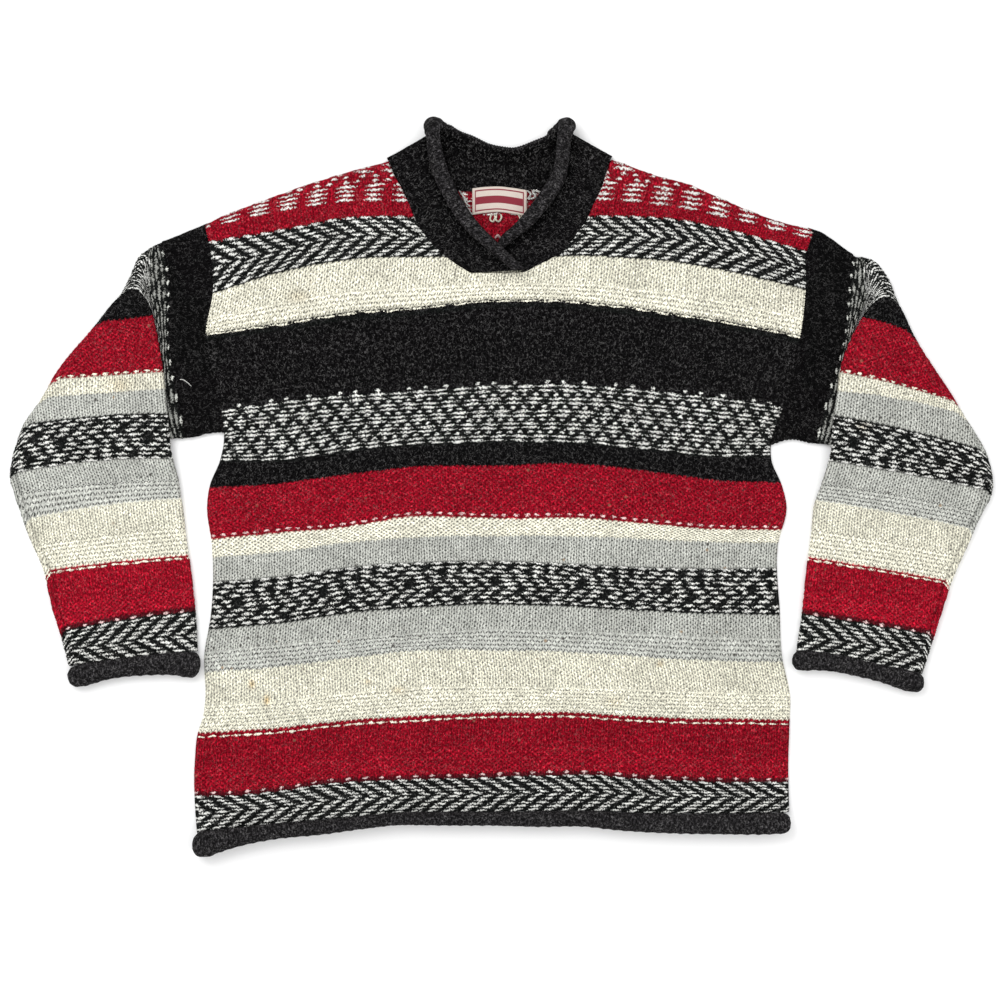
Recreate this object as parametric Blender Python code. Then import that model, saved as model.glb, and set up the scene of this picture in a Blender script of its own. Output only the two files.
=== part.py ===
"""Ski sweater, laid flat on its back: two body panels, two folded sleeves, a rolled collar and a neck label.

Plan: X runs to the photograph's right, Y up the garment from hem to neck, Z up from the surface it lies on.
The tables are in millimetres, because that is how a pattern is written; each solid is built in metres.
"""

import bpy
import numpy as np

MM = 0.001                      # table unit, in metres

WALL = 3.0                      # one layer of chunky knit
SEAM_GAP = 0.4                  # clear space between neighbouring pieces
HALF = WALL / 2
BACK_LEVEL = HALF               # middle of the back layer
FRONT_LEVEL = WALL + SEAM_GAP + HALF    # middle of the front layer at its edges

FRONT_PUFF = 3.0                # air under the middle of the front
EDGE_SHARE = 0.13               # share of a panel over which it comes down to its edge
FOLD_FADE_SHARE = 1 / 3         # share of a fold's length over which each of its ends fades out
HEM_ROLL = 6.0                  # radius of the front hem's curl, at mid wall
HEM_ROLL_UNDER = 2.2            # the back hem's curl, pressed flat underneath
HEM_LIFT_SHARE = 0.09           # share of the length over which the hem climbs on that curl
BODY_SHARES = (0.0, 0.03, 0.06, 0.09, 0.17, 0.28, 0.40, 0.52, 0.575, 0.61)    # rows below the armpits
ARMHOLE_SHARES = (0.655, 0.70, 0.75, 0.81, 0.87, 0.93, 1.0)    # and beside the armholes
CURL_TURN = np.radians(262.0)   # how far a knitted edge curls over
CURL_STEPS = 6

SLEEVE_AIR = 0.4                # between a sleeve's two layers at its folds
SLEEVE_CROWN = 2.6              # how much higher a sleeve is in its middle
CROWN_ROWS = 6                  # rows over which the crown grows from each of its ends
PLY_FADE = 32.0                 # width over which a sleeve comes down from the layers under it
ACROSS_SHARES = (0.0, 0.14, 0.32, 0.5, 0.68, 0.86, 1.0)    # points across a sleeve's section
END_TURNS = (45.0, 90.0, 135.0)     # and round its folds, in degrees
COLLAR_GAP = 0.9                # from the neckline to the band, measured along the band
FOLD_RADIUS = 1.8               # collar's side folds, at mid wall
BAND_STEPS = 4
LABEL_THICK = 1.0
LABEL_RISE = 0.9                # the label's top edge lies on the collar seam
LABEL_RISE_FROM = 0.6           # share of the label's height where that rise starts
LABEL_ROWS = 5

# The body's side edges: height above the middle of the garment, left edge, right edge.
SIDES = (
    # y,    left, right
    (-385, -322, 306),
    (-353, -325, 306),
    (-289, -326, 305),
    (-226, -315, 307),
    (-178, -316, 298),
    (-136, -309, 296),
    (-61, -308, 294),
    (-20, -313, 303),
    (2, -310, 298),
    (29, -299, 287),
    (50, -295, 287),
    (80, -297, 297),
    (119, -306, 308),
    (159, -314, 317),
    (210, -306, 323),
    (254, -310, 325),
    (278, -315, 332),
)

# Middle of the rolled hem, from side to side.
HEM = (
    # x,    y
    (-323, -381),
    (-306, -385),
    (-276, -374),
    (-195, -360),
    (-114, -349),
    (-10, -350),
    (87, -351),
    (151, -357),
    (274, -359),
    (306, -357),
)

# Upper edge of the front: shoulder, V neckline, shoulder.
FRONT_TOP = (
    # x,    y
    (-315, 278),
    (-298, 287),
    (-270, 298),
    (-207, 321),
    (-161, 335),
    (-120, 346),
    (-113, 330),
    (-104, 313),
    (-89, 278),
    (-74, 258),
    (-61, 246),
    (-48, 236),
    (-33, 227),
    (-3, 227),
    (25, 228),
    (42, 237),
    (61, 247),
    (74, 261),
    (89, 281),
    (98, 300),
    (107, 319),
    (116, 348),
    (166, 330),
    (201, 321),
    (245, 301),
    (289, 283),
    (330.2, 272),
)

# Upper edge of the back: the same shoulders, with the shallow back neck between them.
BACK_TOP = (
    # x,    y
    (-315, 278),
    (-298, 287),
    (-270, 298),
    (-207, 321),
    (-161, 335),
    (-120, 346),
    (-95, 329),
    (-72, 319),
    (-44, 314),
    (-21, 314),
    (-2, 314),
    (20, 314),
    (41, 314),
    (67, 319),
    (92, 329),
    (116, 348),
    (166, 330),
    (201, 321),
    (245, 301),
    (289, 283),
    (330.2, 272),
)

# Soft folds of the front: a low ridge from one point to another.
FRONT_FOLDS = (
    # x0,   y0,   x1,   y1, height, width
    (-285, 40, -120, -60, 1.8, 26),
    (270, 30, 120, -90, 1.6, 24),
    (-250, -150, -60, -210, 1.4, 30),
    (90, -230, 250, -180, 1.5, 28),
    (-200, 240, -90, 120, 1.4, 26),
    (230, 240, 110, 130, 1.5, 24),
)

# The left sleeve below its pleat, across from the outer fold to the inner one.
# lift: height of the inner edge on the layers folded under it; reach: how far those layers go.
SLEEVE_LEFT = (
    # outer x, y, inner x, y, lift, reach, thick
    (-372, 253, -375, 195, 0.0, 10, 6.6),
    (-385, 243, -374, 192, 0.0, 10, 6.8),
    (-394, 224, -373, 188, 0.3, 10, 7.0),
    (-405, 202, -372, 184, 1.2, 12, 7.2),
    (-428, 175, -369, 175, 3.2, 14, 7.4),
    (-457, 139, -362, 153, 7.4, 18, 7.8),
    (-475, 112, -358, 125, 7.4, 26, 8.0),
    (-487, 94, -357, 107, 7.4, 32, 8.0),
    (-511, 59, -354, 76, 7.4, 44, 8.0),
    (-523, 29, -350, 45, 7.0, 46, 8.0),
    (-519, 2, -344, 10, 3.0, 40, 8.0),
    (-505, -33, -338, -30, 0.6, 30, 8.0),
    (-489, -84, -332, -74, 0.0, 20, 8.0),
    (-475, -130, -324, -126, 0.0, 20, 8.0),
    (-462, -176, -321, -163, 0.0, 20, 8.0),
    (-458, -185, -321, -172, 0.0, 20, 13.5),
    (-459, -194, -319, -181, 0.0, 20, 15.5),
    (-457, -203, -319, -192, 0.0, 20, 13.5),
    (-453, -208, -321, -200, 0.0, 20, 8.0),
)

SLEEVE_RIGHT = (
    # outer x, y, inner x, y, lift, reach, thick
    (382, 243, 387, 187, 0.0, 10, 6.6),
    (393, 240, 386, 184, 0.0, 10, 6.8),
    (406, 228, 385, 180, 0.3, 10, 7.0),
    (416, 205, 384, 176, 1.2, 12, 7.2),
    (436, 163, 380, 170, 4.0, 14, 7.4),
    (460, 127, 368, 153, 7.8, 18, 7.8),
    (480, 93, 359, 125, 7.4, 26, 8.0),
    (490, 76, 356, 100, 7.4, 32, 8.0),
    (507, 48, 352, 75, 7.4, 44, 8.0),
    (523, 14, 348, 45, 7.3, 46, 8.0),
    (517, -12, 341, 14, 3.5, 40, 8.0),
    (502, -43, 334, -19, 0.6, 30, 8.0),
    (476, -102, 325, -77, 0.0, 20, 8.0),
    (461, -153, 319, -132, 0.0, 20, 8.0),
    (449, -180, 314, -163, 0.0, 20, 8.0),
    (446, -190, 312, -172, 0.0, 20, 13.5),
    (447, -199, 309, -181, 0.0, 20, 15.5),
    (446, -208, 309, -190, 0.0, 20, 13.5),
    (440, -213, 312, -196, 0.0, 20, 8.0),
)

# Where the upper stretch of each sleeve ends under the pleat, from the shoulder down.
PLEAT_LEFT = (
    # x,    y
    (-371, 253),
    (-373, 225),
    (-373, 195),
    (-366, 170),
    (-361, 154),
    (-376, 108),
    (-388, 53),
)

PLEAT_RIGHT = (
    # x,    y
    (380, 243),
    (383, 214),
    (385, 187),
    (376, 166),
    (367, 153),
    (377, 108),
    (385, 50),
)

UPPER_SHARES = (0.0, 0.16, 0.36, 0.6, 0.8, 1.0)
UPPER_CROWN = 1.6

# The collar band, from the left flap round the back to the right flap.
# seam: the edge sewn to the neckline; edge: where the free edge starts to curl;
# lean: which way the band's outside faces, 0 up and 180 down; roll: radius of the curl.
COLLAR = (
    # seam x, y, z, edge x, y, z, lean, roll
    (-33, 227.8, 4.9, 15, 230, 15.0, 0, 5.6),
    (-48, 236, 4.9, 2, 243, 15.5, 0, 5.8),
    (-61, 246, 4.9, -13, 257, 15.0, 0, 6.0),
    (-74, 258, 4.9, -29, 272, 13.5, 0, 6.0),
    (-89, 278, 4.9, -44, 292, 12.0, 0, 6.0),
    (-104, 313, 4.9, -61, 323, 13.5, 0, 6.0),
    (-113, 330, 4.9, -70, 349, 16.2, 0, 6.0),
    (-119, 344, 4.9, -76, 370, 17.6, 0, 6.0),
    (-120, 346, 4.5, -78, 376, 16.9, 45, 6.0),
    (-120, 346, 3.2, -78, 377, 15.6, 90, 6.0),
    (-120, 346, 2.0, -77, 377, 14.2, 135, 6.0),
    (-112, 341, 1.5, -73, 379, 13.5, 180, 6.0),
    (-95, 329, 1.5, -62, 378, 13.5, 180, 6.0),
    (-72, 319, 1.5, -46, 371, 12.7, 180, 5.6),
    (-44, 314, 1.5, -30, 363.5, 11.9, 180, 5.2),
    (-21, 314, 1.5, -14.5, 358, 11.5, 180, 5.0),
    (-2, 314, 1.5, 1, 354.5, 11.5, 180, 5.0),
    (20, 314, 1.5, 16, 354, 11.5, 180, 5.0),
    (41, 314, 1.5, 36, 361, 11.9, 180, 5.2),
    (67, 319, 1.5, 49, 372, 12.7, 180, 5.6),
    (92, 329, 1.5, 61, 380, 13.5, 180, 6.0),
    (109, 343, 1.5, 70, 381, 13.5, 180, 6.0),
    (116, 348, 2.0, 74, 380, 14.2, 135, 6.0),
    (116, 348, 3.2, 75, 379, 15.6, 90, 6.0),
    (116, 348, 4.5, 75, 378, 16.9, 45, 6.0),
    (115, 345, 4.9, 73, 371, 17.6, 0, 6.0),
    (107, 319, 4.9, 67, 349, 16.2, 0, 6.0),
    (98, 300, 4.9, 60, 327, 12.5, 0, 6.0),
    (89, 281, 4.9, 47, 301, 9.0, 0, 6.0),
    (74, 261, 4.9, 31, 275, 6.0, 0, 6.0),
    (61, 247, 4.9, 18, 262, 4.9, 0, 5.0),
    (42, 237, 4.9, 9, 253, 4.9, 0, 3.6),
    (25, 228, 4.9, 5, 248, 4.9, 0, 2.6),
)

# The label: each row is one of its points across, with its lower and upper edge.
LABEL = (
    # x, lower y, upper y
    (-31, 289, 317),
    (-18, 291, 318.5),
    (-3, 292, 319),
    (12, 290, 317.5),
    (27, 287, 315),
)

# Colours are linear red, green and blue.
FABRICS = {
    # node: (colour, roughness)
    "front": ((0.33, 0.27, 0.24), 0.95),
    "back": ((0.30, 0.24, 0.22), 0.95),
    "sleeve_left": ((0.31, 0.20, 0.18), 0.95),
    "sleeve_left_upper": ((0.022, 0.022, 0.024), 0.95),
    "sleeve_right": ((0.31, 0.20, 0.18), 0.95),
    "sleeve_right_upper": ((0.022, 0.022, 0.024), 0.95),
    "collar": ((0.020, 0.020, 0.022), 0.95),
    "neck_label": ((0.60, 0.50, 0.44), 0.7),
}


def ease(value):
    """Go smoothly from 0 to 1 as value does, and stay flat outside that span."""
    t = np.clip(value, 0.0, 1.0)
    return t * t * (3.0 - 2.0 * t)


def smooth_column(table, key, column, at):
    """Read one column of a table at new key values, on a cubic curve through its rows."""
    rows = np.array(table, dtype=float)
    keys = rows[:, key]
    values = rows[:, column]
    slopes = np.gradient(values, keys)
    i = np.clip(np.searchsorted(keys, at) - 1, 0, len(keys) - 2)
    span = keys[i + 1] - keys[i]
    t = (at - keys[i]) / span
    rise = (values[i + 1] - values[i]) * t * t * (3.0 - 2.0 * t)
    lean = span * t * (1.0 - t) * (slopes[i] * (1.0 - t) - slopes[i + 1] * t)
    return values[i] + rise + lean


def fabric(name):
    """Matt knitted fabric in the piece's main colour."""
    colour, roughness = FABRICS[name]
    material = bpy.data.materials.new(name + "_knit")
    material.use_nodes = True
    shader = material.node_tree.nodes["Principled BSDF"]
    shader.inputs["Base Color"].default_value = (*colour, 1.0)
    shader.inputs["Roughness"].default_value = roughness
    shader.inputs["Metallic"].default_value = 0.0
    return material


def grid_faces(rows, columns, offset, ring, flip):
    """Quads of a grid whose points are numbered row by row; a ring closes on its first column."""
    faces = []
    steps = columns if ring else columns - 1
    for row in range(rows - 1):
        for step in range(steps):
            after = (step + 1) % columns
            corners = (
                offset + row * columns + step,
                offset + row * columns + after,
                offset + (row + 1) * columns + after,
                offset + (row + 1) * columns + step,
            )
            faces.append(corners[::-1] if flip else corners)
    return faces


def border(rows, columns, ring):
    """Point numbers round a grid's edge, one list for each closed loop of it."""
    if ring:
        first = list(range(columns))
        last = [(rows - 1) * columns + step for step in reversed(range(columns))]
        return [first, last]
    loop = list(range(columns))
    loop += [row * columns + columns - 1 for row in range(1, rows)]
    loop += [(rows - 1) * columns + step for step in reversed(range(columns - 1))]
    loop += [row * columns for row in reversed(range(1, rows - 1))]
    return [loop]


def wall(name, upper, lower, ring=False):
    """One closed layer of cloth between two matching grids of points, in millimetres."""
    rows, columns = upper.shape[:2]
    count = rows * columns
    points = np.concatenate([upper.reshape(-1, 3), lower.reshape(-1, 3)]) * MM
    faces = grid_faces(rows, columns, 0, ring, False)
    faces += grid_faces(rows, columns, count, ring, True)
    for loop in border(rows, columns, ring):
        for here, after in zip(loop, loop[1:] + loop[:1]):
            faces.append((after, here, count + here, count + after))
    mesh = bpy.data.meshes.new(name)
    mesh.from_pydata(points.tolist(), [], faces)
    mesh.shade_smooth()
    mesh.materials.append(fabric(name))
    piece = bpy.data.objects.new(name, mesh)
    bpy.context.scene.collection.objects.link(piece)
    return piece


def fold_height(folds, x, y):
    """Height of soft ridges: a bell across each fold's line that fades out at its ends."""
    height = np.zeros_like(x)
    for x0, y0, x1, y1, top, width in folds:
        length = np.hypot(x1 - x0, y1 - y0)
        along = ((x - x0) * (x1 - x0) + (y - y0) * (y1 - y0)) / length ** 2
        across = ((x - x0) * (y1 - y0) - (y - y0) * (x1 - x0)) / length
        fade = ease(along / FOLD_FADE_SHARE) * ease((1.0 - along) / FOLD_FADE_SHARE)
        height += top * fade * np.exp(-(across / width) ** 2)
    return height


def panel_plan(top):
    """Plan of a body panel: columns run from hem to top edge, rows lie between the side edges.

    A row's height is the hem's and the top's, mixed by its share; its ends are on the side edges
    at that height, and the columns divide it as they divide the top edge.
    """
    edge = np.array(top, dtype=float)
    across = (edge[:, 0] - edge[0, 0]) / (edge[-1, 0] - edge[0, 0])
    hem_x = HEM[0][0] + across * (HEM[-1][0] - HEM[0][0])
    hem_y = smooth_column(HEM, 0, 1, hem_x)
    share = np.array(BODY_SHARES + ARMHOLE_SHARES)[:, None]
    y = hem_y * (1.0 - share) + edge[:, 1] * share
    left = smooth_column(SIDES, 0, 1, y[:, 0])[:, None]
    right = smooth_column(SIDES, 0, 2, y[:, -1])[:, None]
    x = left * (1.0 - across) + right * across
    return x, y, np.broadcast_to(across, y.shape), np.broadcast_to(share, y.shape)


def panel_walls(x, y, z, roll, side):
    """Upper and lower face of a panel whose hem curls up (side 1) or under (side -1).

    The first row is the hem. Its curl is a circle of the given radius, tangent to the panel:
    at angle a it has gone roll * sin(a) out and roll * (1 - cos(a)) to its side.
    """
    middle = np.stack([x, y, z], axis=-1)
    slope = np.gradient(z, axis=0) / np.gradient(y, axis=0)
    slope[0] = 0.0
    normal = np.stack([np.zeros_like(z), -slope, np.ones_like(z)], axis=-1)
    normal /= np.linalg.norm(normal, axis=-1, keepdims=True)
    turn = np.linspace(CURL_TURN, 0.0, CURL_STEPS + 1)[:-1, None]
    hem = middle[0][None]
    still = np.zeros_like(turn)
    step = np.stack([still, -roll * np.sin(turn), side * roll * (1.0 - np.cos(turn))], axis=-1)
    facing = np.stack([still, side * np.sin(turn), np.cos(turn)], axis=-1)
    middle = np.concatenate([hem + step, middle])
    normal = np.concatenate([np.broadcast_to(facing, (CURL_STEPS, x.shape[1], 3)), normal])
    return middle + HALF * normal, middle - HALF * normal


def hem_lift(share):
    """Both panels climb on the back's curl as they come to the hem."""
    return 2.0 * HEM_ROLL_UNDER * (1.0 - ease(share / HEM_LIFT_SHARE))


def make_back():
    """Back panel: flat on the surface, with its hem curled under it."""
    x, y, _, share = panel_plan(BACK_TOP)
    z = BACK_LEVEL + hem_lift(share)
    upper, lower = panel_walls(x, y, z, HEM_ROLL_UNDER, -1)
    return wall("back", upper, lower)


def make_front():
    """Front panel: lies on the back, comes down to it at every edge, and curls up at the hem."""
    x, y, across, share = panel_plan(FRONT_TOP)
    inside = ease(across / EDGE_SHARE) * ease((1.0 - across) / EDGE_SHARE)
    inside *= ease(share / EDGE_SHARE) * ease((1.0 - share) / EDGE_SHARE)
    z = FRONT_LEVEL + hem_lift(share) + inside * (FRONT_PUFF + fold_height(FRONT_FOLDS, x, y))
    upper, lower = panel_walls(x, y, z, HEM_ROLL, 1)
    return wall("front", upper, lower)


def flat_ring(stops, thick, end):
    """Section of a flattened tube: distance along its middle and height, for one of its two faces.

    The loop goes along the top, round the far end, back along the bottom and round the near end.
    Top and bottom have a point at each stop. An end is half an ellipse, as high as the section
    and end wide, round a point one wall inside.
    """
    core = WALL + SLEEVE_AIR / 2
    level = np.clip(stops, core, stops[-1] - core)
    width = stops[-1]
    turn = np.radians(END_TURNS)
    bulge = end * np.sin(turn)
    along = np.concatenate([level, width - core + bulge, level[::-1], core - bulge])
    flat = np.full(len(level), thick / 2)
    bend = np.cos(turn) * thick / 2
    return along, np.concatenate([flat, bend, -flat, -bend])


def tube_walls(spines, lifts, reaches, thicks, crowns):
    """Outer and inner face of a flattened tube laid along rows of plan points.

    Each row's points run from the outer fold to the inner one. The section's distance is measured
    along them; its height adds the layers underneath, which fade out beyond their reach from the
    inner edge, and a crown that is highest in the middle of the upper layer.
    """
    outer, inner = [], []
    for spine, lift, reach, thick, crown in zip(spines, lifts, reaches, thicks, crowns):
        steps = np.hypot(*np.diff(spine, axis=0).T)
        length = np.concatenate([[0.0], np.cumsum(steps)])
        width = length[-1]
        shells = (
            (outer, thick, WALL + SLEEVE_AIR / 2, thick / 2),
            (inner, SLEEVE_AIR, SLEEVE_AIR / 2, WALL + SLEEVE_AIR / 2),
        )
        for shell, height, end, base in shells:
            along, rise = flat_ring(length, height, end)
            swell = np.sin(np.pi * np.clip(along / width, 0.0, 1.0)) * (rise > 0)
            under = lift * (1.0 - ease((width - along - reach) / PLY_FADE))
            x = np.interp(along, length, spine[:, 0])
            y = np.interp(along, length, spine[:, 1])
            shell.append(np.stack([x, y, base + rise + under + crown * swell], axis=-1))
    return np.array(outer), np.array(inner)


def make_sleeve(name, table, handed):
    """Sleeve from its pleat to its rolled cuff: a flattened tube, open at both ends."""
    rows = np.array(table, dtype=float)
    share = np.array(ACROSS_SHARES)[:, None]
    spines = [row[0:2] * (1.0 - share) + row[2:4] * share for row in rows]
    row = np.arange(len(rows))
    crowns = SLEEVE_CROWN * ease(row / CROWN_ROWS) * ease((len(rows) - row) / CROWN_ROWS)
    outer, inner = tube_walls(spines, rows[:, 4], rows[:, 5], rows[:, 6], crowns)
    return wall(name, outer[:, ::handed], inner[:, ::handed], ring=True)


def make_sleeve_upper(name, pleat, edge, handed):
    """Sleeve from the armhole to where it goes under the pleat: rows mix the two lines' points."""
    pleat_line = np.array(pleat, dtype=float)
    x, y, _, _ = panel_plan(BACK_TOP)
    hole = np.stack([x[:, edge] + handed * SEAM_GAP, y[:, edge]], axis=-1)[:-len(pleat_line) - 1:-1]
    spines = [hole * (1.0 - share) + pleat_line * share for share in UPPER_SHARES]
    shares = np.array(UPPER_SHARES)
    thicks = np.full(len(shares), WALL * 2 + SLEEVE_AIR)
    crowns = UPPER_CROWN * np.sin(np.pi * np.clip(shares / UPPER_SHARES[-2], 0.0, 1.0))
    level = np.zeros(len(shares))
    outer, inner = tube_walls(spines, level, level + WALL, thicks, crowns)
    return wall(name, outer[:, ::handed], inner[:, ::handed], ring=True)


def make_collar():
    """Collar: one knitted band round the neck, its free edge curled to the outside.

    In each section the band runs from seam to edge and changes height on an eased curve. The curl
    is a circle on the band's outside, as on the hems. The outside turns over at the side folds.
    """
    rows = np.array(COLLAR, dtype=float)
    seam, edge = rows[:, 0:3].copy(), rows[:, 3:6].copy()
    lean = np.radians(rows[:, 6])[:, None]
    roll = rows[:, 7][:, None, None]
    run = edge[:, :2] - seam[:, :2]
    reach = np.linalg.norm(run, axis=1, keepdims=True)
    ahead = np.concatenate([run / reach, np.zeros_like(reach)], axis=1)
    outward = np.stack([-ahead[:, 1], ahead[:, 0], np.zeros(len(rows))], axis=1)
    outward *= np.where(outward[:, :1] * rows[:, :1] < 0, -1.0, 1.0)
    facing = np.cos(lean) * np.array((0.0, 0.0, 1.0)) + np.sin(lean) * outward
    seam += FOLD_RADIUS * np.sin(lean) * outward + COLLAR_GAP * ahead
    edge += FOLD_RADIUS * np.sin(lean) * outward

    share = np.linspace(0.0, 1.0, BAND_STEPS + 1)[None, :, None]
    climb = edge[:, None, 2:] - seam[:, None, 2:]
    band = seam[:, None] + (edge - seam)[:, None] * share
    band[:, :, 2:] = seam[:, None, 2:] + climb * ease(share)
    slope = climb * 6.0 * share * (1.0 - share)
    along = ahead[:, None] * reach[:, None] + slope * np.array((0.0, 0.0, 1.0))
    along /= np.linalg.norm(along, axis=-1, keepdims=True)
    normal = facing[:, None] - along * np.sum(facing[:, None] * along, axis=-1, keepdims=True)
    normal /= np.linalg.norm(normal, axis=-1, keepdims=True)

    turn = np.linspace(0.0, CURL_TURN, CURL_STEPS + 1)[None, 1:, None]
    out = facing[:, None]
    curl = edge[:, None] + roll * (out + np.sin(turn) * ahead[:, None] - np.cos(turn) * out)
    curl_normal = np.cos(turn) * out - np.sin(turn) * ahead[:, None]
    middle = np.concatenate([band, curl], axis=1)
    normal = np.concatenate([normal, curl_normal], axis=1)
    return wall("collar", middle + HALF * normal, middle - HALF * normal)


def make_label():
    """Neck label: a woven patch that lies on the back panel and rises a little at the collar seam."""
    rows = np.array(LABEL, dtype=float)
    share = np.linspace(0.0, 1.0, LABEL_ROWS)[:, None]
    x = np.broadcast_to(rows[:, 0], (LABEL_ROWS, len(rows)))
    y = rows[:, 1] * (1.0 - share) + rows[:, 2] * share
    z = WALL + SEAM_GAP + LABEL_RISE * ease((share - LABEL_RISE_FROM) / (1.0 - LABEL_RISE_FROM)) + np.zeros_like(y)
    lower = np.stack([x, y, z], axis=-1)
    return wall("neck_label", lower + np.array((0.0, 0.0, LABEL_THICK)), lower)


def clear_scene():
    for thing in list(bpy.data.objects):
        bpy.data.objects.remove(thing, do_unlink=True)


def main():
    clear_scene()
    make_back()
    make_front()
    make_sleeve("sleeve_left", SLEEVE_LEFT, -1)
    make_sleeve("sleeve_right", SLEEVE_RIGHT, 1)
    make_sleeve_upper("sleeve_left_upper", PLEAT_LEFT, 0, -1)
    make_sleeve_upper("sleeve_right_upper", PLEAT_RIGHT, -1, 1)
    make_collar()
    make_label()


main()
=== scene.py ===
"""Ski sweater laid flat: knitted panels, sleeves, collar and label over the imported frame.

X runs to the right of the picture, Y from hem to neck, Z up. The tables are in millimetres and every mesh
is built in metres.
"""

import bpy
import numpy as np
from bpy.props import FloatProperty, FloatVectorProperty, PointerProperty
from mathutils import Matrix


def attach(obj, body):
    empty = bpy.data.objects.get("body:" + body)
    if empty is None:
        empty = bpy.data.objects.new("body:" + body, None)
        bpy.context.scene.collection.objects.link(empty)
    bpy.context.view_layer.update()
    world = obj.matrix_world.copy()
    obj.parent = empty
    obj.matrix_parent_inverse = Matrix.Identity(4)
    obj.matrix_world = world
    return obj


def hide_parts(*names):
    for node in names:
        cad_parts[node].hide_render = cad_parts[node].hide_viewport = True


bl_info = {
    "name": "Ski Sweater Laid Flat",
    "version": (1, 0, 0),
    "blender": (4, 5, 0),
    "location": "3D View > Sidebar > Sweater",
    "description": "Builds the knitted pieces of a striped ski sweater that lies flat",
    "category": "Add Mesh",
}

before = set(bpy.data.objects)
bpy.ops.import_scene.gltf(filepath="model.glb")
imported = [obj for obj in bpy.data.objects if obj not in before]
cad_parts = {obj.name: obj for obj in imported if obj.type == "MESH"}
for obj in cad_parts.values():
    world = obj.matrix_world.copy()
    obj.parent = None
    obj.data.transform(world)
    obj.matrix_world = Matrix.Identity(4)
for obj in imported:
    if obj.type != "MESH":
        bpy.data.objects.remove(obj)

MM = 0.001

ASH_SHARE = 0.5                 # how dark the floats of the sleeve tops are, as a share of the grey
SCARLET_SHARE = 1.22            # the brighter red near the cuffs, against the red
ROLL_PAINTED_LIGHT = 3.6                 # painted light: how much paler the wool is made on a roll, as if the roll caught more light than the flat cloth
MAP_STITCHES = 200.0            # stitches and courses that fill the stitch map
NO_FLOAT = 3.0                  # place along a float where there is none
UP = np.array((0.0, 0.0, 1.0))

# In the wool: how fine its fibres, streaks, curled fibres and neps are, and their colours.
FIBRE_SCALE = 620.0
STREAKS = (620.0, 260.0, 1.0)
CURLS = ((230.0, 0.50), (330.0, 0.46))
PALE_SHARE = (1.9, 1.9, 1.9, 1.0)
PALE_TINT = (0.074, 0.072, 0.071, 1.0)
NEP_SCALE = 105.0
DARK_NEP = (0.055, 0.050, 0.045, 1.0)
TAN_NEP = (0.34, 0.24, 0.15, 1.0)
STAIN_TINT = (0.74, 0.58, 0.38, 1.0)

# The knitting: size of a stitch, and the points that each one is divided into.
STITCH_WIDTH = 5.83
UPPER_STITCH_WIDTH = 5.6
COURSE_HEIGHT = 4.24
POINTS_PER_STITCH = 4
POINTS_PER_COURSE = 3
BACK_POINTS = 2                 # points to a stitch or a course on the underside, which is hardly seen

# The body.
BODY_STITCHES = 106
FRONT_WIDTH = 620.0
BACK_LEVEL_TOP = 3.0            # top face of the back layer
FRONT_TOP_LEVEL = 6.4           # top face of the front layer at its edges
FRONT_PUFF = 3.0                # how much higher its middle is
EDGE_SHARE = 0.13               # share of the panel over which it rises
HEM_CLIMB = 4.4                 # how far the front climbs onto the hem's roll
HEM_CLIMB_SHARE = 0.09
SIDE_ROUND = 7.0                # width over which the front turns down at its side folds
SHOULDER_ROUND = 6.0            # width over which it turns down at the shoulders
SHOULDER_LEVEL = 0.35           # share of its height that is left at the shoulder's edge
ARMPIT_Y = 42.0
ARMPIT_EASE = 22.0              # length over which the side fold ends above the armpit
SEAM_DIP = 0.7                  # how deep the armhole seam lies, and how wide it is
SEAM_WIDTH = 2.5
UNDER_GAP = 0.35                # underside above the floor

# The sleeves.
TABLE_STITCHES = 60             # stitches that are charted for each sleeve
SLEEVE_CROWN = 2.6              # how much higher the middle of a sleeve is than its folds
CROWN_COURSES = 30.0            # courses over which it reaches that height
UPPER_CROWN = 1.6
PLY_FADE = 32.0                 # width over which a layer comes down from those underneath
TURN_LIMIT = 0.86 * np.pi       # how far a sleeve's upper layer is followed round its folds
ROUND_STITCHES = 2              # stitches of the upper layer that lie round its inner fold
SPARE_WIDTH = 16.0              # knitting that goes on past the outer fold
CREASE_COURSE = 40.0            # course from which the outer edge is creased
CREASE_EASE = 8.0
CREASE_WIDTH = 1.8
CREASE_DEPTH = 1.2
ARMHOLE_DIP = 3.6               # how deep a sleeve's top starts, and the courses over which it rises
ARMHOLE_COURSES = 1.2
WHOLE_SLEEVE = 400.0            # further than a sleeve is wide
LENGTH_POINTS = 33              # points along a row, to measure it and to lay its lower layer
UNDER_POINTS = 49

# The body's side edges.
SIDES = (
    # y,    left, right
    (-385, -322, 306),
    (-353, -325, 306),
    (-289, -326, 305),
    (-262, -323, 306),
    (-245, -317.5, 306.5),
    (-226, -315, 307),
    (-178, -316, 298),
    (-136, -309, 296),
    (-61, -308, 294),
    (-20, -313, 303),
    (2, -310, 298),
    (29, -299, 287),
    (50, -295, 287),
    (80, -297, 297),
    (119, -306, 308),
    (159, -314, 317),
    (210, -306, 323),
    (254, -310, 325),
    (278, -315, 336),
)

# Middle of the rolled hem and how far it spreads to each side.
HEM_PATH = (
    # x,    y,     half width
    (-327, -376.5, 11.6),
    (-316, -377.5, 13.4),
    (-300, -374, 11.8),
    (-276, -369.5, 9.4),
    (-240, -364, 7.8),
    (-194, -360, 7.4),
    (-146, -354.5, 6.4),
    (-114, -351, 6.2),
    (-59, -350.6, 6.8),
    (-10, -350.6, 6.8),
    (45, -351, 7.8),
    (88, -350.5, 8.0),
    (119, -353, 9.0),
    (175, -355.7, 9.8),
    (232, -356.2, 10.4),
    (285, -355.8, 10.8),
    (306, -355, 10.2),
)
HEM_TALL = 8.2                  # half height of the hem's roll
HEM_CENTRE = 14.4               # height of its middle above the floor

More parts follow.
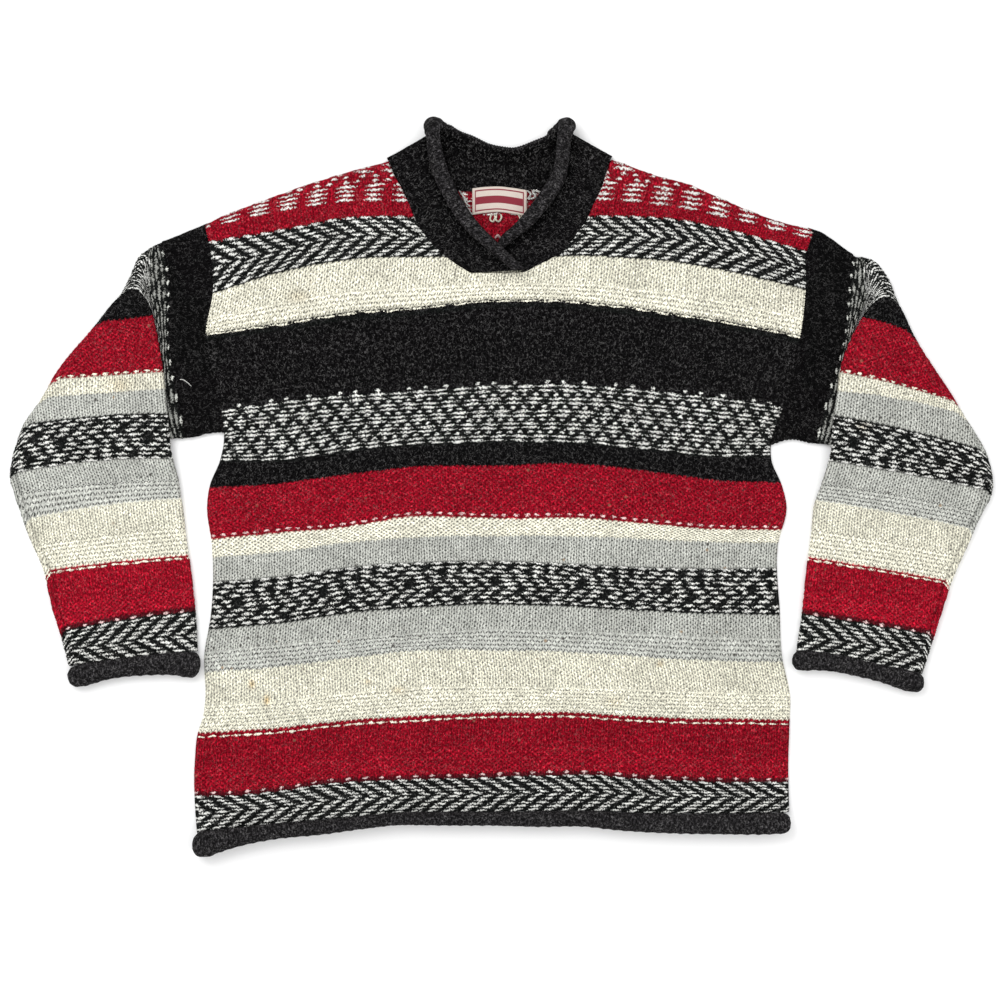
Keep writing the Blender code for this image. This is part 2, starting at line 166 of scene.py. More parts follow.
# Upper edges of the front and of the back: the same shoulders, the V neckline and the shallow back neck.
SHOULDER_LEFT = (
    # x,    y
    (-315, 278),
    (-298, 287),
    (-270, 298),
    (-207, 321),
    (-161, 335),
    (-120, 346),
)
SHOULDER_RIGHT = (
    (116, 348),
    (166, 330),
    (201, 321),
    (245, 301),
    (289, 283),
    (336, 271.5),
)
SHOULDER_INNER_X = 112.0
FRONT_TOP = (
    *SHOULDER_LEFT,
    (-113, 330),
    (-104, 313),
    (-89, 278),
    (-74, 258),
    (-61, 246),
    (-48, 236),
    (-33, 227),
    (-3, 227),
    (25, 228),
    (42, 237),
    (61, 247),
    (74, 261),
    (89, 281),
    (98, 300),
    (107, 319),
    *SHOULDER_RIGHT,
)
BACK_TOP = (
    *SHOULDER_LEFT,
    (-95, 329),
    (-72, 319),
    (-44, 314),
    (41, 314),
    (67, 319),
    (92, 329),
    *SHOULDER_RIGHT,
)

# Soft ridges and troughs of the front.
FRONT_FOLDS = (
    # x0,   y0,   x1,   y1, height, width
    (-285, 40, -120, -60, 1.8, 26),
    (270, 30, 120, -90, 1.6, 24),
    (-250, -150, -60, -210, 1.4, 30),
    (90, -230, 250, -180, 1.5, 28),
    (-200, 240, -90, 120, 1.4, 26),
    (230, 240, 110, 130, 1.5, 24),
    (-270, 150, -180, 20, 1.1, 14),
    (250, 170, 190, 10, 1.0, 15),
    (-60, -20, 60, -60, 0.9, 18),
    (-300, -250, -200, -300, 1.1, 14),
    (180, -290, 290, -240, 1.1, 15),
)

# Repeats as they are seen, top course first. A dot is ground; a and b are figure, and a change between them
# ends a float. A repeat goes on sideways, and upwards where its band has more courses than it.
REPEATS = {
    # name: courses, thinness, rise over one stitch, length, wave, shift across the course
    "none": ((".",), 2.2, 0.0, 1.0, 0.0, 0.0),
    "zigzag": ((
        "aa.",
        ".aa",
        "a.a",
        "aa.",
        ".aa",
        "aa.",
        "a.a",
        ".aa",
        "aa.",
        "a.a",
    ), 2.95, 0.15, 1.12, 0.08, 0.0),
    "strands": ((
        ".aa.aa",
        "aa.aaa",
        "a.aa.a",
    ), 3.2, 0.05, 1.3, 0.05, 0.0),
    "low_lozenge": ((
        "aa.aa.aa.aa.aa.a",
        "a.aa.aa..aa.aa.a",
        ".aa.aaa.aa..aa.a",
        "aa.aa.aa.aa.a.aa",
        "a.aa..aa.aa.aa.a",
        "aa.a..aaa.aa.aa.",
        ".aa.aa.aa..aa.aa",
        "aa.aa.aa..aa.aa.",
        "a.aa.aa.aa.aa..a",
        "aa.aa.aa.aa.aa.a",
    ), 3.05, 0.05, 1.14, 0.1, 0.0),
    "high_lozenge": ((
        "aaa.",
        ".a.a",
        "a.aa",
        "a.aa",
        ".a.a",
        "aaa.",
    ), 2.9, 0.03, 1.14, 0.08, 0.0),
    "check": ((
        ".aaa.",
        ".aaa.",
        ".aaa.",
        "..a.a",
        ".a..a",
        "a..aa",
        "a..aa",
        "a..aa",
        "a..aa",
    ), 3.3, 0.03, 1.15, 0.08, 0.0),
    "every_other": (("a.",), 2.8, 0.0, 1.05, 0.0, 0.2),
    "every_other_back": (("a.",), 2.8, 0.0, 1.05, 0.0, -0.25),
    "every_third": (("a..",), 2.7, 0.1, 1.0, 0.0, 0.1),
    "now_and_then": (("...a.....a..a",), 2.5, 0.1, 0.9, 0.0, 0.0),
    "pairs": (("aabb",), 3.4, 0.0, 0.86, 0.0, 0.0),
    "long_dash": (("aaa.",), 3.2, 0.0, 1.05, 0.04, 0.0),
    "three_of_four": (("aaa.",), 4.6, 0.0, 1.2, 0.0, -0.2),
}

# The kinds of stitch, in the order of the charts.
STITCHES = ("plain", "purl", "float", "seed")

# How mottled each ground yarn is, and how many dark or tan neps it has.
WOOL = {
    "charcoal": (1.0, 0.0),
    "soot": (0.62, 0.0),
    "scarlet": (0.6, 0.35),
    "black": (0.5, 0.0),
    "white": (0.2, 0.1),
    "cream": (0.3, 0.45),
    "grey": (0.03, 1.0),
    "red": (0.6, 0.35),
    "wine": (0.3, 0.0),
    "pink": (0.3, 0.0),
}

# The yarns whose colours the user sets.
DYED = ("charcoal", "black", "white", "cream", "grey", "red", "wine", "pink")

# Height of each colour change up the front, at nine places across it.
LINE_PLACES = (-310, -240, -160, -100, 0, 90, 160, 240, 300)
BODY_LINES = (
    (-370.5, -359.0, -350.4, -346.0, -344.0, -343.4, -345.6, -345.6, -344.5),
    (-327.4, -323.6, -312.1, -309.5, -306.6, -304.2, -309.0, -312.0, -312.2),
    (-267.2, -263.3, -254.4, -250.5, -245.6, -245.9, -250.7, -252.2, -253.3),
    (-232.0, -227.5, -218.4, -213.0, -211.0, -213.0, -215.0, -218.0, -220.0),
    (-195.8, -190.2, -180.6, -173.3, -172.1, -174.6, -179.5, -183.6, -184.4),
    (-174.9, -167.8, -160.4, -155.4, -150.5, -152.6, -155.8, -159.0, -160.6),
    (-150.5, -144.5, -133.1, -127.8, -123.8, -126.9, -130.9, -133.9, -134.6),
    (-99.6, -94.2, -83.7, -79.3, -77.4, -81.0, -84.2, -85.4, -84.8),
    (-74.2, -67.7, -57.5, -52.8, -50.9, -51.6, -54.3, -57.7, -58.3),
    (-54.7, -48.3, -40.9, -31.3, -32.9, -32.6, -38.8, -44.6, -44.6),
    (0.0, 4.0, 14.3, 21.5, 23.4, 25.1, 17.0, 7.3, 5.3),
    (27.6, 27.8, 39.0, 43.8, 47.3, 45.7, 39.3, 31.8, 32.8),
    (81.6, 91.5, 98.8, 102.4, 108.5, 108.2, 102.1, 94.1, 84.8),
    (160.0, 169.6, 181.9, 187.0, 196.1, 192.2, 182.4, 169.6, 157.3),
    (205.6, 228.0, 242.6, 244.3, 244.6, 244.9, 239.4, 224.8, 209.6),
    (261.4, 272.7, 287.5, 287.3, 287.8, 288.3, 285.8, 268.4, 251.0),
    (273.5, 290.8, 301.7, 302.1, 303.2, 303.5, 296.0, 278.5, 262.0),
    (312.0, 333.0, 351.0, 356.0, 357.0, 358.0, 350.0, 329.0, 304.0),
)

# The bands between those lines, from the hem up. Each band is a list of stretches of courses.
BODY_BANDS = (
    # (courses, stitch, ground) of one yarn, or (courses, stitch, ground, figure, repeat)
    ((10, "float", "black", "white", "zigzag"),),
    ((1, "float", "wine", "pink", "every_third"), (6, "seed", "red"), (7, "plain", "red")),
    ((1, "float", "red", "cream", "pairs"), (1, "plain", "red"), (7, "purl", "cream")),
    ((9, "plain", "cream"),),
    ((5, "purl", "grey"),),
    ((6, "plain", "grey"),),
    ((10, "float", "black", "white", "low_lozenge"),),
    ((7, "plain", "grey"),),
    ((5, "seed", "cream"),),
    ((1, "float", "red", "pink", "every_other"), (12, "seed", "red")),
    ((6, "plain", "charcoal"),),
    ((1, "float", "black", "white", "long_dash"), (13, "float", "black", "white", "high_lozenge")),
    ((1, "float", "charcoal", "white", "now_and_then"), (18, "plain", "charcoal"), (1, "plain", "black")),
    ((1, "float", "charcoal", "cream", "three_of_four"), (4, "purl", "cream"), (7, "plain", "cream")),
    ((10, "float", "black", "white", "zigzag"),),
    ((4, "plain", "red"),),
    ((10, "float", "red", "white", "check"),),
)
BODY_COUNTS = np.cumsum([0] + [sum(stretch[0] for stretch in band) for band in BODY_BANDS])
BODY_COURSES = int(BODY_COUNTS[-1])

# The front's parts, from the hem up: height in metres, and area where the part isn't a rectangle.
FRONT_PARTS = (
    ("front_lower", 0.230, None),
    ("front_middle", 0.215, None),
    ("front_upper", 0.236, 0.118),
)

# Each sleeve from its fold to the cuff: courses to the next line, then the line's points.
SLEEVE_LEFT_LINES = (
    # courses, inner x, y,  middle x, y,   outer x, y,     lift, reach, thick
    (3, -373.7, 194.0, -372.6, 224.7, -371.5, 254.4, 0.0, 10, 6.6),
    (4, -373.5, 191.5, -376.6, 226.5, -384.0, 245.0, 0.0, 10, 6.8),
    (7, -373.0, 189.5, -380.5, 221.0, -393.5, 225.0, 0.3, 10, 7.0),
    (4, -372.3, 187.0, -385.5, 208.5, -405.5, 202.5, 1.2, 12, 7.2),
    (4, -371.5, 184.5, -391.7, 196.0, -417.1, 189.0, 2.2, 13, 7.3),
    (13, -370.0, 181.3, -398.0, 176.5, -428.5, 174.5, 3.2, 14, 7.4),
    (5, -359.0, 125.0, -412.0, 121.5, -474.5, 118.0, 7.4, 26, 8.0),
    (7, -356.5, 102.5, -421.0, 98.5, -487.5, 94.0, 7.4, 32, 8.0),
    (10, -354.0, 77.0, -430.0, 74.5, -507.0, 65.5, 7.4, 44, 8.0),
    (6, -348.5, 28.6, -435.0, 26.2, -521.5, 12.5, 6.0, 45, 8.0),
    (5, -343.0, 7.0, -428.0, 3.5, -516.5, -7.0, 2.8, 40, 8.0),
    (8, -340.0, -13.5, -425.0, -21.0, -507.0, -36.5, 1.6, 34, 8.0),
    (7, -336.5, -43.0, -417.0, -50.5, -496.5, -62.5, 0.5, 28, 8.0),
    (7, -332.5, -73.0, -408.0, -80.0, -485.5, -89.5, 0.0, 20, 8.0),
    (7, -328.5, -103.0, -402.0, -111.0, -477.5, -124.0, 0.0, 20, 8.0),
    (9, -325.0, -132.5, -397.0, -140.5, -469.0, -153.5, 0.0, 20, 8.0),
    (0, -322.5, -174.0, -389.0, -180.0, -459.0, -190.0, 0.0, 20, 8.0),
)

SLEEVE_RIGHT_LINES = (
    # courses, inner x, y,  middle x, y,   outer x, y,     lift, reach, thick
    (3, 387.0, 187.0, 385.0, 215.0, 381.5, 244.5, 0.0, 10, 6.6),
    (4, 386.7, 185.5, 388.5, 213.5, 395.0, 240.0, 0.0, 10, 6.8),
    (7, 386.3, 184.5, 393.5, 208.5, 407.5, 226.5, 0.3, 10, 7.0),
    (4, 385.8, 183.5, 401.5, 199.5, 420.5, 196.5, 1.2, 12, 7.2),
    (4, 385.0, 181.5, 406.0, 187.0, 428.5, 179.5, 2.4, 13, 7.3),
    (13, 382.5, 179.0, 410.0, 171.5, 437.0, 161.5, 3.8, 14, 7.4),
    (5, 359.0, 125.0, 425.0, 109.5, 481.5, 91.5, 7.5, 26, 8.0),
    (7, 356.0, 100.0, 425.0, 91.5, 490.0, 76.0, 7.4, 32, 8.0),
    (10, 352.0, 75.0, 437.0, 58.0, 513.0, 38.0, 7.4, 44, 8.0),
    (6, 347.0, 26.5, 433.0, 12.0, 520.5, -6.0, 6.4, 45, 8.0),
    (5, 340.0, 3.0, 425.0, -9.5, 509.5, -28.0, 2.6, 40, 8.0),
    (8, 333.5, -15.0, 418.0, -29.0, 501.5, -46.0, 0.8, 30, 8.0),
    (7, 330.0, -45.0, 409.5, -58.0, 489.0, -73.5, 0.2, 24, 8.0),
    (7, 326.0, -75.0, 401.0, -87.0, 477.5, -101.0, 0.0, 20, 8.0),
    (7, 322.5, -105.0, 396.0, -116.5, 468.0, -129.0, 0.0, 20, 8.0),
    (10, 319.0, -135.0, 391.5, -146.0, 459.5, -157.5, 0.0, 20, 8.0),
    (0, 312.5, -178.5, 382.0, -186.5, 446.5, -198.5, 0.0, 20, 8.0),
)

SLEEVE_BANDS = (
    (14, "float", "black", "white", "strands"),
    (8, "plain", "charcoal"),
    (13, "seed", "red"),
    (1, "float", "red", "cream", "every_other_back"),
    (4, "plain", "cream"),
    (7, "plain", "grey"),
    (10, "float", "black", "white", "low_lozenge"),
    (6, "plain", "grey"),
    (5, "purl", "grey"),
    (8, "plain", "cream"),
    (7, "purl", "cream"),
    (1, "float", "scarlet", "cream", "pairs"),
    (7, "plain", "scarlet"),
    (5, "seed", "scarlet"),
    (1, "float", "wine", "pink", "every_third"),
    (10, "float", "black", "white", "zigzag"),
)

# The top of each sleeve, from the armhole out to the pleat: courses to the next line, then its points.
UPPER_LEFT_LINES = (
    # courses, then x, y from the shoulder down to the armpit
    (6, -310.4, 280.4, -301.8, 215.0, -308.8, 158.0, -300.2, 115.0, -293.0, 59.0),
    (5, -340.0, 267.5, -329.0, 214.0, -333.0, 164.0, -327.0, 120.0, -311.0, 57.5),
    (5, -361.0, 259.5, -350.5, 212.0, -352.0, 170.0, -347.5, 122.0, -333.0, 52.5),
    (4, -372.0, 254.0, -373.0, 205.0, -364.5, 160.0, -366.0, 112.0, -357.0, 51.5),
    (0, -374.0, 252.5, -374.0, 205.0, -366.0, 158.0, -376.0, 110.0, -384.0, 52.0),
)
UPPER_RIGHT_LINES = (
    # courses, then x, y from the shoulder down to the armpit
    (6, 325.6, 275.0, 317.8, 212.0, 312.6, 158.0, 303.2, 118.0, 282.8, 44.0),
    (5, 344.5, 266.5, 345.0, 208.0, 340.0, 159.0, 329.0, 118.0, 308.0, 51.0),
    (5, 374.0, 245.5, 366.5, 205.0, 362.5, 160.0, 351.0, 118.0, 331.0, 46.5),
    (4, 381.5, 244.0, 384.5, 196.0, 371.0, 154.0, 368.0, 108.0, 356.0, 45.0),
    (0, 382.5, 243.0, 385.5, 193.0, 372.0, 154.0, 377.0, 108.0, 381.0, 45.0),
)
UPPER_BANDS = (
    (11, "plain", "soot"),
    (1, "float", "soot", "grey", "every_third"),
    (8, "float", "black", "ash", "strands"),
)
UPPER_THICK = 6.4
TURNED_EDGE = 11.0              # width of the strip beyond the crease by each sleeve's outer edge
TURNED_COURSES = 2.4            # how far the courses drop across that strip

# The rolled cuffs: middle of the roll, and how far it spreads to each side.
CUFF_LEFT_PATH = (
    # x,    y,     half width
    (-459.5, -203.5, 8.6),
    (-445, -199.5, 11.4),
    (-426, -195, 10.4),
    (-404, -191.5, 9.8),
    (-376, -188.5, 10.6),
    (-349, -187.3, 11.6),
    (-330, -188.4, 13.4),
    (-319, -189.8, 14.4),
)
CUFF_RIGHT_PATH = (
    # x,    y,     half width
    (308, -182.5, 8.0),
    (316, -183.5, 10.0),
    (334, -184.1, 9.6),
    (358, -186.9, 9.2),
    (375, -190.6, 9.0),
    (393, -194.6, 9.0),
    (410, -199, 9.4),
    (427, -204, 10.6),
    (439, -206.8, 10.2),
    (448, -207, 8.6),
)
CUFF_TALL = 7.7
CUFF_CENTRE = 8.0
ROLL_COURSES = 12               # courses round a roll
ROLL_GAP = 0.1                  # underside of a roll above the floor

# The collar band, from the left flap round the back to the right flap.
COLLAR = (
    # seam x, y, z, edge x, y, z, lean, roll
    (-33, 227.8, 4.9, 18, 229, 13.5, 0, 5.4),
    (-48, 236, 4.9, 4, 242, 15.0, 0, 5.8),
    (-61, 246, 4.9, -13, 257, 15.0, 0, 6.6),
    (-74, 258, 4.9, -29, 272, 13.5, 0, 6.8),
    (-89, 278, 4.9, -44, 292, 12.0, 0, 6.8),
    (-104, 313, 4.9, -61, 323, 13.5, 0, 6.8),
    (-113, 330, 4.9, -69, 348, 16.2, 0, 6.6),
    (-119, 344, 4.9, -72, 368, 17.2, 0, 6.4),
    (-120, 346, 4.5, -70, 371.5, 16.6, 35, 7.6),
    (-120, 346, 3.2, -68, 373, 15.4, 75, 8.0),
    (-120, 346, 2.0, -65, 374.5, 14.2, 125, 8.0),
    (-112, 341, 1.5, -61.5, 378.8, 13.5, 180, 7.0),
    (-95, 329, 1.5, -53.5, 374.2, 13.5, 180, 6.4),
    (-72, 319, 1.5, -45, 370.2, 12.7, 180, 5.6),
    (-44, 314, 1.5, -31, 365.5, 11.9, 180, 5.2),
    (-21, 314, 1.5, -14.5, 358, 11.5, 180, 5.0),
    (-2, 314, 1.5, 1, 354.5, 11.5, 180, 5.0),
    (20, 314, 1.5, 16, 354, 11.5, 180, 5.0),
    (41, 314, 1.5, 36, 361, 11.9, 180, 5.2),
    (67, 319, 1.5, 49.5, 366, 12.7, 180, 5.6),
    (92, 329, 1.5, 54.2, 371, 13.5, 180, 6.2),
    (109, 343, 1.5, 60, 376, 13.5, 180, 6.8),
    (116, 348, 2.0, 63.5, 375.5, 14.2, 125, 7.4),
    (116, 348, 3.2, 65.5, 373, 15.4, 75, 7.4),
    (116, 348, 4.5, 66, 372.5, 16.6, 35, 7.0),
    (115, 345, 4.9, 66, 368, 17.2, 0, 6.4),
    (107, 319, 4.9, 64, 348, 16.2, 0, 6.6),
    (98, 300, 4.9, 60, 327, 12.5, 0, 6.8),
    (89, 281, 4.9, 44, 302, 9.0, 0, 6.8),
    (74, 261, 4.9, 24, 278, 6.0, 0, 6.6),
    (61, 247, 4.9, 8, 265, 4.9, 0, 5.6),
    (42, 237, 4.9, -2, 254, 4.6, 0, 3.0),
    (25, 228, 4.9, -8, 246, 4.4, 0, 2.0),
)
COLLAR_SIDE_FOLD = 1.8          # how far the cloth stands out where it turns over at the side
COLLAR_CURL = np.radians(262.0)
COLLAR_STEPS = 2000             # places at which the free edge is measured
BAND_POINTS = 26                # points from seam to edge, and round the curl
CURL_POINTS = 26
WALL_HALF = 1.3                 # half the thickness of the cloth
COLLAR_GAP = 0.05               # the collar's lowest point above the floor

# The neck label: each row is a point across it, with its lower and upper edge.
LABEL = (
    # x, lower y, upper y
    (-31, 289, 317),
    (-18, 291, 318.5),
    (-3, 292, 319),
    (12, 290, 317.5),
    (27, 287, 315),
)
LABEL_BOTTOM = 3.5
LABEL_THICK = 0.9
LABEL_ROWS = 25                 # points across the label and along it
LABEL_COLUMNS = 41

# The inside of the back that shows in the neck opening.
NECK_PATCH = (-66.0, 58.0, 237.0, 328.0)    # left, right, lower, upper

# Loose yarn at the neck and on the left sleeve: its colour, its radius, then the points it runs through.
NECK_YARN = (
    ("white", 0.9, ((-49, 313, 3.4), (-46, 309, 4.6), (-42, 304, 3.6))),
    ("white", 0.9, ((-45, 315, 3.4), (-41, 309, 4.6), (-36, 303, 3.6))),
    ("white", 0.9, ((-41, 309, 3.4), (-38, 302, 4.6), (-33, 297, 3.6))),
    ("white", 0.8, ((-38, 300, 3.4), (-35, 294, 4.4), (-31, 289, 3.6))),
    ("white", 1.1, ((27, 315, 4.0), (31, 311, 5.4), (29, 306, 4.2), (36, 308, 5.6), (33, 314, 4.4),
                    (40, 313, 5.6), (42, 307, 4.2), (45, 313, 4.8))),
    ("cream", 0.9, ((17, 291, 3.6), (20, 284, 4.6), (16, 280, 3.8), (22, 281, 4.8), (21, 289, 3.8))),
    ("cream", 0.9, ((-11, 290, 3.6), (-12, 284, 4.8), (-9, 282, 4.2), (-7, 286, 4.8), (-8, 290, 3.6))),
    ("cream", 0.9, ((-5, 290, 3.6), (-6, 284, 4.8), (-3, 282, 4.2), (0, 286, 4.8), (-1, 290, 3.6))),
    ("pink", 1.2, ((-7, 264, 3.2), (-4, 267, 5.0), (-1, 264, 3.6))),
)
SLEEVE_YARN = (
    ("white", 0.5, ((-341, 114, 8.4), (-337, 113.5, 9.8), (-332.5, 110.5, 9.6), (-328.5, 106.5, 8.8))),
)
STRAND_SIDES = 9                # points round a loose strand

# Soft tan stains.
STAINS = (
    # x,    y,   width, height, strength
    (-248.6, -225.8, 3.4, 5.2, 1.0),
    (-264.5, -208.8, 3.4, 4.6, 0.9),
    (168.0, -187.6, 3.5, 3.5, 0.55),
    (-142.0, -206.0, 3.6, 3.0, 0.45),
    (-110.0, -215.0, 7.0, 4.0, 0.40),
    (-215.0, 202.0, 12.0, 6.0, 0.28),
    (-404.0, 108.0, 14.0, 8.0, 0.34),
    (382.0, 64.0, 8.0, 5.0, 0.45),
    (120.0, -228.0, 9.0, 5.0, 0.28),
)

# Camera: the picture's width at the garment, its middle, and the camera's height.
VIEW_WIDTH = 1.06
VIEW_CENTRE = (-0.0016, -0.0138)
CAMERA_HEIGHT = 2.3
GARMENT_LEVEL = 0.008           # height at which the picture has that width
SENSOR = 36.0
VIEW_END = 20.0                 # how far the camera sees, in metres

# The stage.
FLOOR_HALF = 4000.0
LIGHTS = (
    # name, place in metres, share of the key light's power, size in metres
    ("key_light", (-1.1, 1.3, 2.1), 1.0, 1.6),
    ("fill_light", (1.6, -0.6, 2.4), 0.35, 2.2),
)


# ---------------------------------------------------------------- curves and noise

def ease(value):
    """Go smoothly from 0 to 1 as value does: 3t^2 - 2t^3, flat outside that span."""
    t = np.clip(value, 0.0, 1.0)
    return t * t * (3.0 - 2.0 * t)


def round_over(value):
    """Quarter of a circle from 0 to 1 as value does: sqrt(1 - (1 - t)^2), flat outside that span."""
    t = np.clip(value, 0.0, 1.0)
    return np.sqrt(1.0 - (1.0 - t) ** 2)


def smooth(keys, values, at):
    """Cubic curve through a table's rows, flat beyond its ends. Each slope comes from the two neighbours."""
    keys = np.asarray(keys, dtype=float)
    values = np.asarray(values, dtype=float)
    at = np.clip(at, keys[0], keys[-1])
    slopes = np.gradient(values, keys, axis=0)
    i = np.clip(np.searchsorted(keys, at) - 1, 0, len(keys) - 2)
    wide = at.shape + (1,) * (values.ndim - 1)
    span = (keys[i + 1] - keys[i]).reshape(wide)
    t = ((at - keys[i]).reshape(wide)) / span
    rise = (values[i + 1] - values[i]) * t * t * (3.0 - 2.0 * t)
    return values[i] + rise + span * t * (1.0 - t) * (slopes[i] * (1.0 - t) - slopes[i + 1] * t)


def distances(points):
    """Distance along a line of points, from its start."""
    steps = np.linalg.norm(np.diff(points, axis=0), axis=1)
    return np.concatenate([[0.0], np.cumsum(steps)])


def steps_of(count, each):
    """Numbers from 0 to count, so many to each one."""
    return np.arange(count * each + 1) / each


def waver(x, y, size, seed):
    """Slow unevenness from -1 to 1: the mean of four sine waves that run in different directions."""
    total = np.zeros(np.broadcast(x, y).shape)
    for turn in range(4):
        angle = seed * 1.7 + turn * 2.4
        stretch = (1.0 + 0.37 * turn) * 2.0 * np.pi / size
        total += np.sin((x * np.cos(angle) + y * np.sin(angle)) * stretch + seed * 3.1 + turn * 1.3)
    return total / 4.0


def scatter(i, j, seed):
    """A fixed number from 0 to 1 for each stitch: the fraction of a large sine."""
    return np.mod(np.sin(i * 12.9898 + j * 78.233 + seed * 37.719) * 43758.5453, 1.0)


def ridge_height(x, y):
    """Height of the front's soft ridges: a bell across each one's line that fades out at its ends."""
    height = np.zeros_like(x)
    for x0, y0, x1, y1, top, width in FRONT_FOLDS:
        length = np.hypot(x1 - x0, y1 - y0)
        along = ((x - x0) * (x1 - x0) + (y - y0) * (y1 - y0)) / length ** 2
        across = ((x - x0) * (y1 - y0) - (y - y0) * (x1 - x0)) / length
        height += top * ease(along * 3.0) * ease((1.0 - along) * 3.0) * np.exp(-(across / width) ** 2)
    return height


# ---------------------------------------------------------------- the knitting chart

def yarns_of(settings):
    """Colour of every yarn: the user's, and three that are made from them."""
    yarns = {name: getattr(settings, name) for name in DYED}
    yarns["soot"] = settings.charcoal
    yarns["scarlet"] = [SCARLET_SHARE * level for level in settings.red]
    yarns["ash"] = [ASH_SHARE * level for level in settings.grey]
    return yarns


def chart_of(stretches, stitches, settings):
    """Work out every course of a run of stretches.

    Gives, for each course, its kind of stitch, its two yarns and how its floats lie, and for each of its
    stitches whether the figure shows, and where the float it belongs to starts and ends.
    """
    yarns = yarns_of(settings)
    column = np.arange(stitches)
    rows = []
    for courses, stitch, ground, *figured in stretches:
        figure, repeat = figured or (ground, "none")
        drawn, *lie = REPEATS[repeat]
        for course in range(courses):
            line = np.frombuffer(drawn[-1 - course % len(drawn)].encode(), dtype=np.uint8)
            row = line[column % len(line)]
            change = np.concatenate([[True], row[1:] != row[:-1]])
            last = np.concatenate([change[1:], [True]])
            rows.append({
                "kinds": [stitch == kind for kind in STITCHES],
                "grounds": (*yarns[ground], *WOOL[ground]),
                "figures": tuple(yarns[figure]),
                "shown": row != ord("."),
                "starts": np.maximum.accumulate(np.where(change, column, 0)),
                "ends": np.minimum.accumulate(np.where(last, column, stitches)[::-1])[::-1] + 1,
                "lies": lie if course < courses / 2.0 else [lie[0], -lie[1], *lie[2:]],
            })
    chart = {key: np.array([row[key] for row in rows], dtype=float) for key in rows[0]}
    chart["shown"] = chart["shown"] > 0.5
    return chart


def body_chart(settings):
    """The chart of the whole body, the same for its front and its back."""
    return chart_of([stretch for band in BODY_BANDS for stretch in band], BODY_STITCHES, settings)


def float_column(chart, row, column, u):
    """The stitch whose float may reach a point: its own, or the nearer neighbour where the ground shows."""
    beside = np.clip(column + np.where(u - column < 0.5, -1, 1), 0, chart["shown"].shape[1] - 1)
    return np.where(chart["shown"][row, column], column, beside)


def float_place(chart, row, column, u, v):
    """Where a point lies in its float: along it from -1 to 1, and across it in half widths.

    A float's ends, middle, thickness and slope all differ a little. Where no figure shows, along is NO_FLOAT.
    """
    start, end = chart["starts"][row, column], chart["ends"][row, column]
    thinness, rise, length, wave, shift = np.moveaxis(chart["lies"][row], -1, 0)
    own = scatter(start, row, 5.0) - 0.5
    half = (end - start) / 2.0 * length * (1.0 + 0.14 * own)
    centre = (end + start) / 2.0 + 0.3 * own
    slope = rise + 0.12 * (scatter(start, row, 9.0) - 0.5)
    across = v - row - 0.5 - shift - slope * (u - centre) + wave * np.cos(2.0 * np.pi * u)
    thinness = thinness * (1.0 + 0.35 * (scatter(start, row, 7.0) - 0.5))
    along = np.where(chart["shown"][row, column], (u - centre) / half, NO_FLOAT)
    return along, thinness * across


def knit_fields(chart, u, v, fade=1.0):
    """Height and ground yarn of the knitting at stitch number u and course number v.

    Plain: two legs to a stitch, sin^2 of twice the turn across.
    Purl: one ridge between two courses, cos of the course, bent up and down once a stitch.
    Float: as high as it is wide, sqrt(1 - t^2 - |d|^1.5) with t along it and d across it.
    Seed: bumps that change places from course to course.
    A colour change follows the stitches' tips.
    """
    courses, stitches = chart["shown"].shape
    row = np.clip(np.floor(v + 1e-6).astype(int), 0, courses - 1)
    column = np.clip(np.floor(u + 1e-6).astype(int), 0, stitches - 1)
    inside = v - row
    along, across = float_place(chart, row, float_column(chart, row, column, u), u, v)
    turn = 2.0 * np.pi
    side = np.abs(np.mod(u, 1.0) - 0.5)
    shapes = {
        "plain": np.sin(turn * side) ** 2,
        "purl": 0.5 + 0.5 * np.cos(turn * (inside + 0.2 * np.cos(turn * u))),
        "float": 0.15 + 0.85 * np.sqrt(np.clip(1.0 - along ** 2 - np.abs(across) ** 1.5, 0.0, 1.0)),
        "seed": 0.5 + 0.5 * np.cos(turn * (inside - 0.5)) * np.cos(np.pi * (u + row)),
    }
    height = sum(chart["kinds"][row][..., k] * shapes[kind] for k, kind in enumerate(STITCHES))
    height = (0.75 + 0.4 * scatter(column, row, 1.0)) * height
    tip = np.clip(np.floor(v + 1e-6 + 0.68 * (0.5 - side)).astype(int), 0, courses - 1)
    return {
        "height": (height + 0.12 * waver(u, v, 2.3, 4.0)) * fade,
        "ground": chart["grounds"][tip],
        "u": np.broadcast_to(u, height.shape),
        "v": np.broadcast_to(v, height.shape),
    }


def knit_grid(points, quads, fields, chart):
    """Add to a grid what each face's corners need: kind of stitch, figure yarn and place in the float."""
    courses, stitches = chart["shown"].shape
    u, v = (fields[key].ravel()[quads] for key in ("u", "v"))
    row = np.clip(np.floor(v.mean(axis=1)).astype(int), 0, courses - 1)[:, None]
    middle = u.mean(axis=1)[:, None]
    column = np.clip(np.floor(middle).astype(int), 0, stitches - 1)
    column = float_column(chart, row, column, middle)
    along, across = float_place(chart, row, column, u, v)
    kinds = chart["kinds"][row] * np.ones((1, 4, 1))
    shown = chart["shown"][row, column] * np.ones((1, 4)) * kinds[..., 2]
    plain = kinds[..., 0] + kinds[..., 2] - shown
    figure = chart["figures"][row] * np.ones((1, 4, 1))
    corners = {
        "float_place": np.stack([np.where(shown > 0, along, NO_FLOAT), across], axis=-1),
        "stitch_kind": np.stack([plain, kinds[..., 1], kinds[..., 3], shown], axis=-1),
        "figure": np.concatenate([figure, np.ones((*u.shape, 1))], axis=-1),
    }
    return points, quads, fields, corners


def toned(fields, tone):
    """The same fields with their ground yarn made paler or darker, which paints light and shade on it."""
    ground = fields["ground"].copy()
    ground[..., :3] *= tone
    return {**fields, "ground": ground}


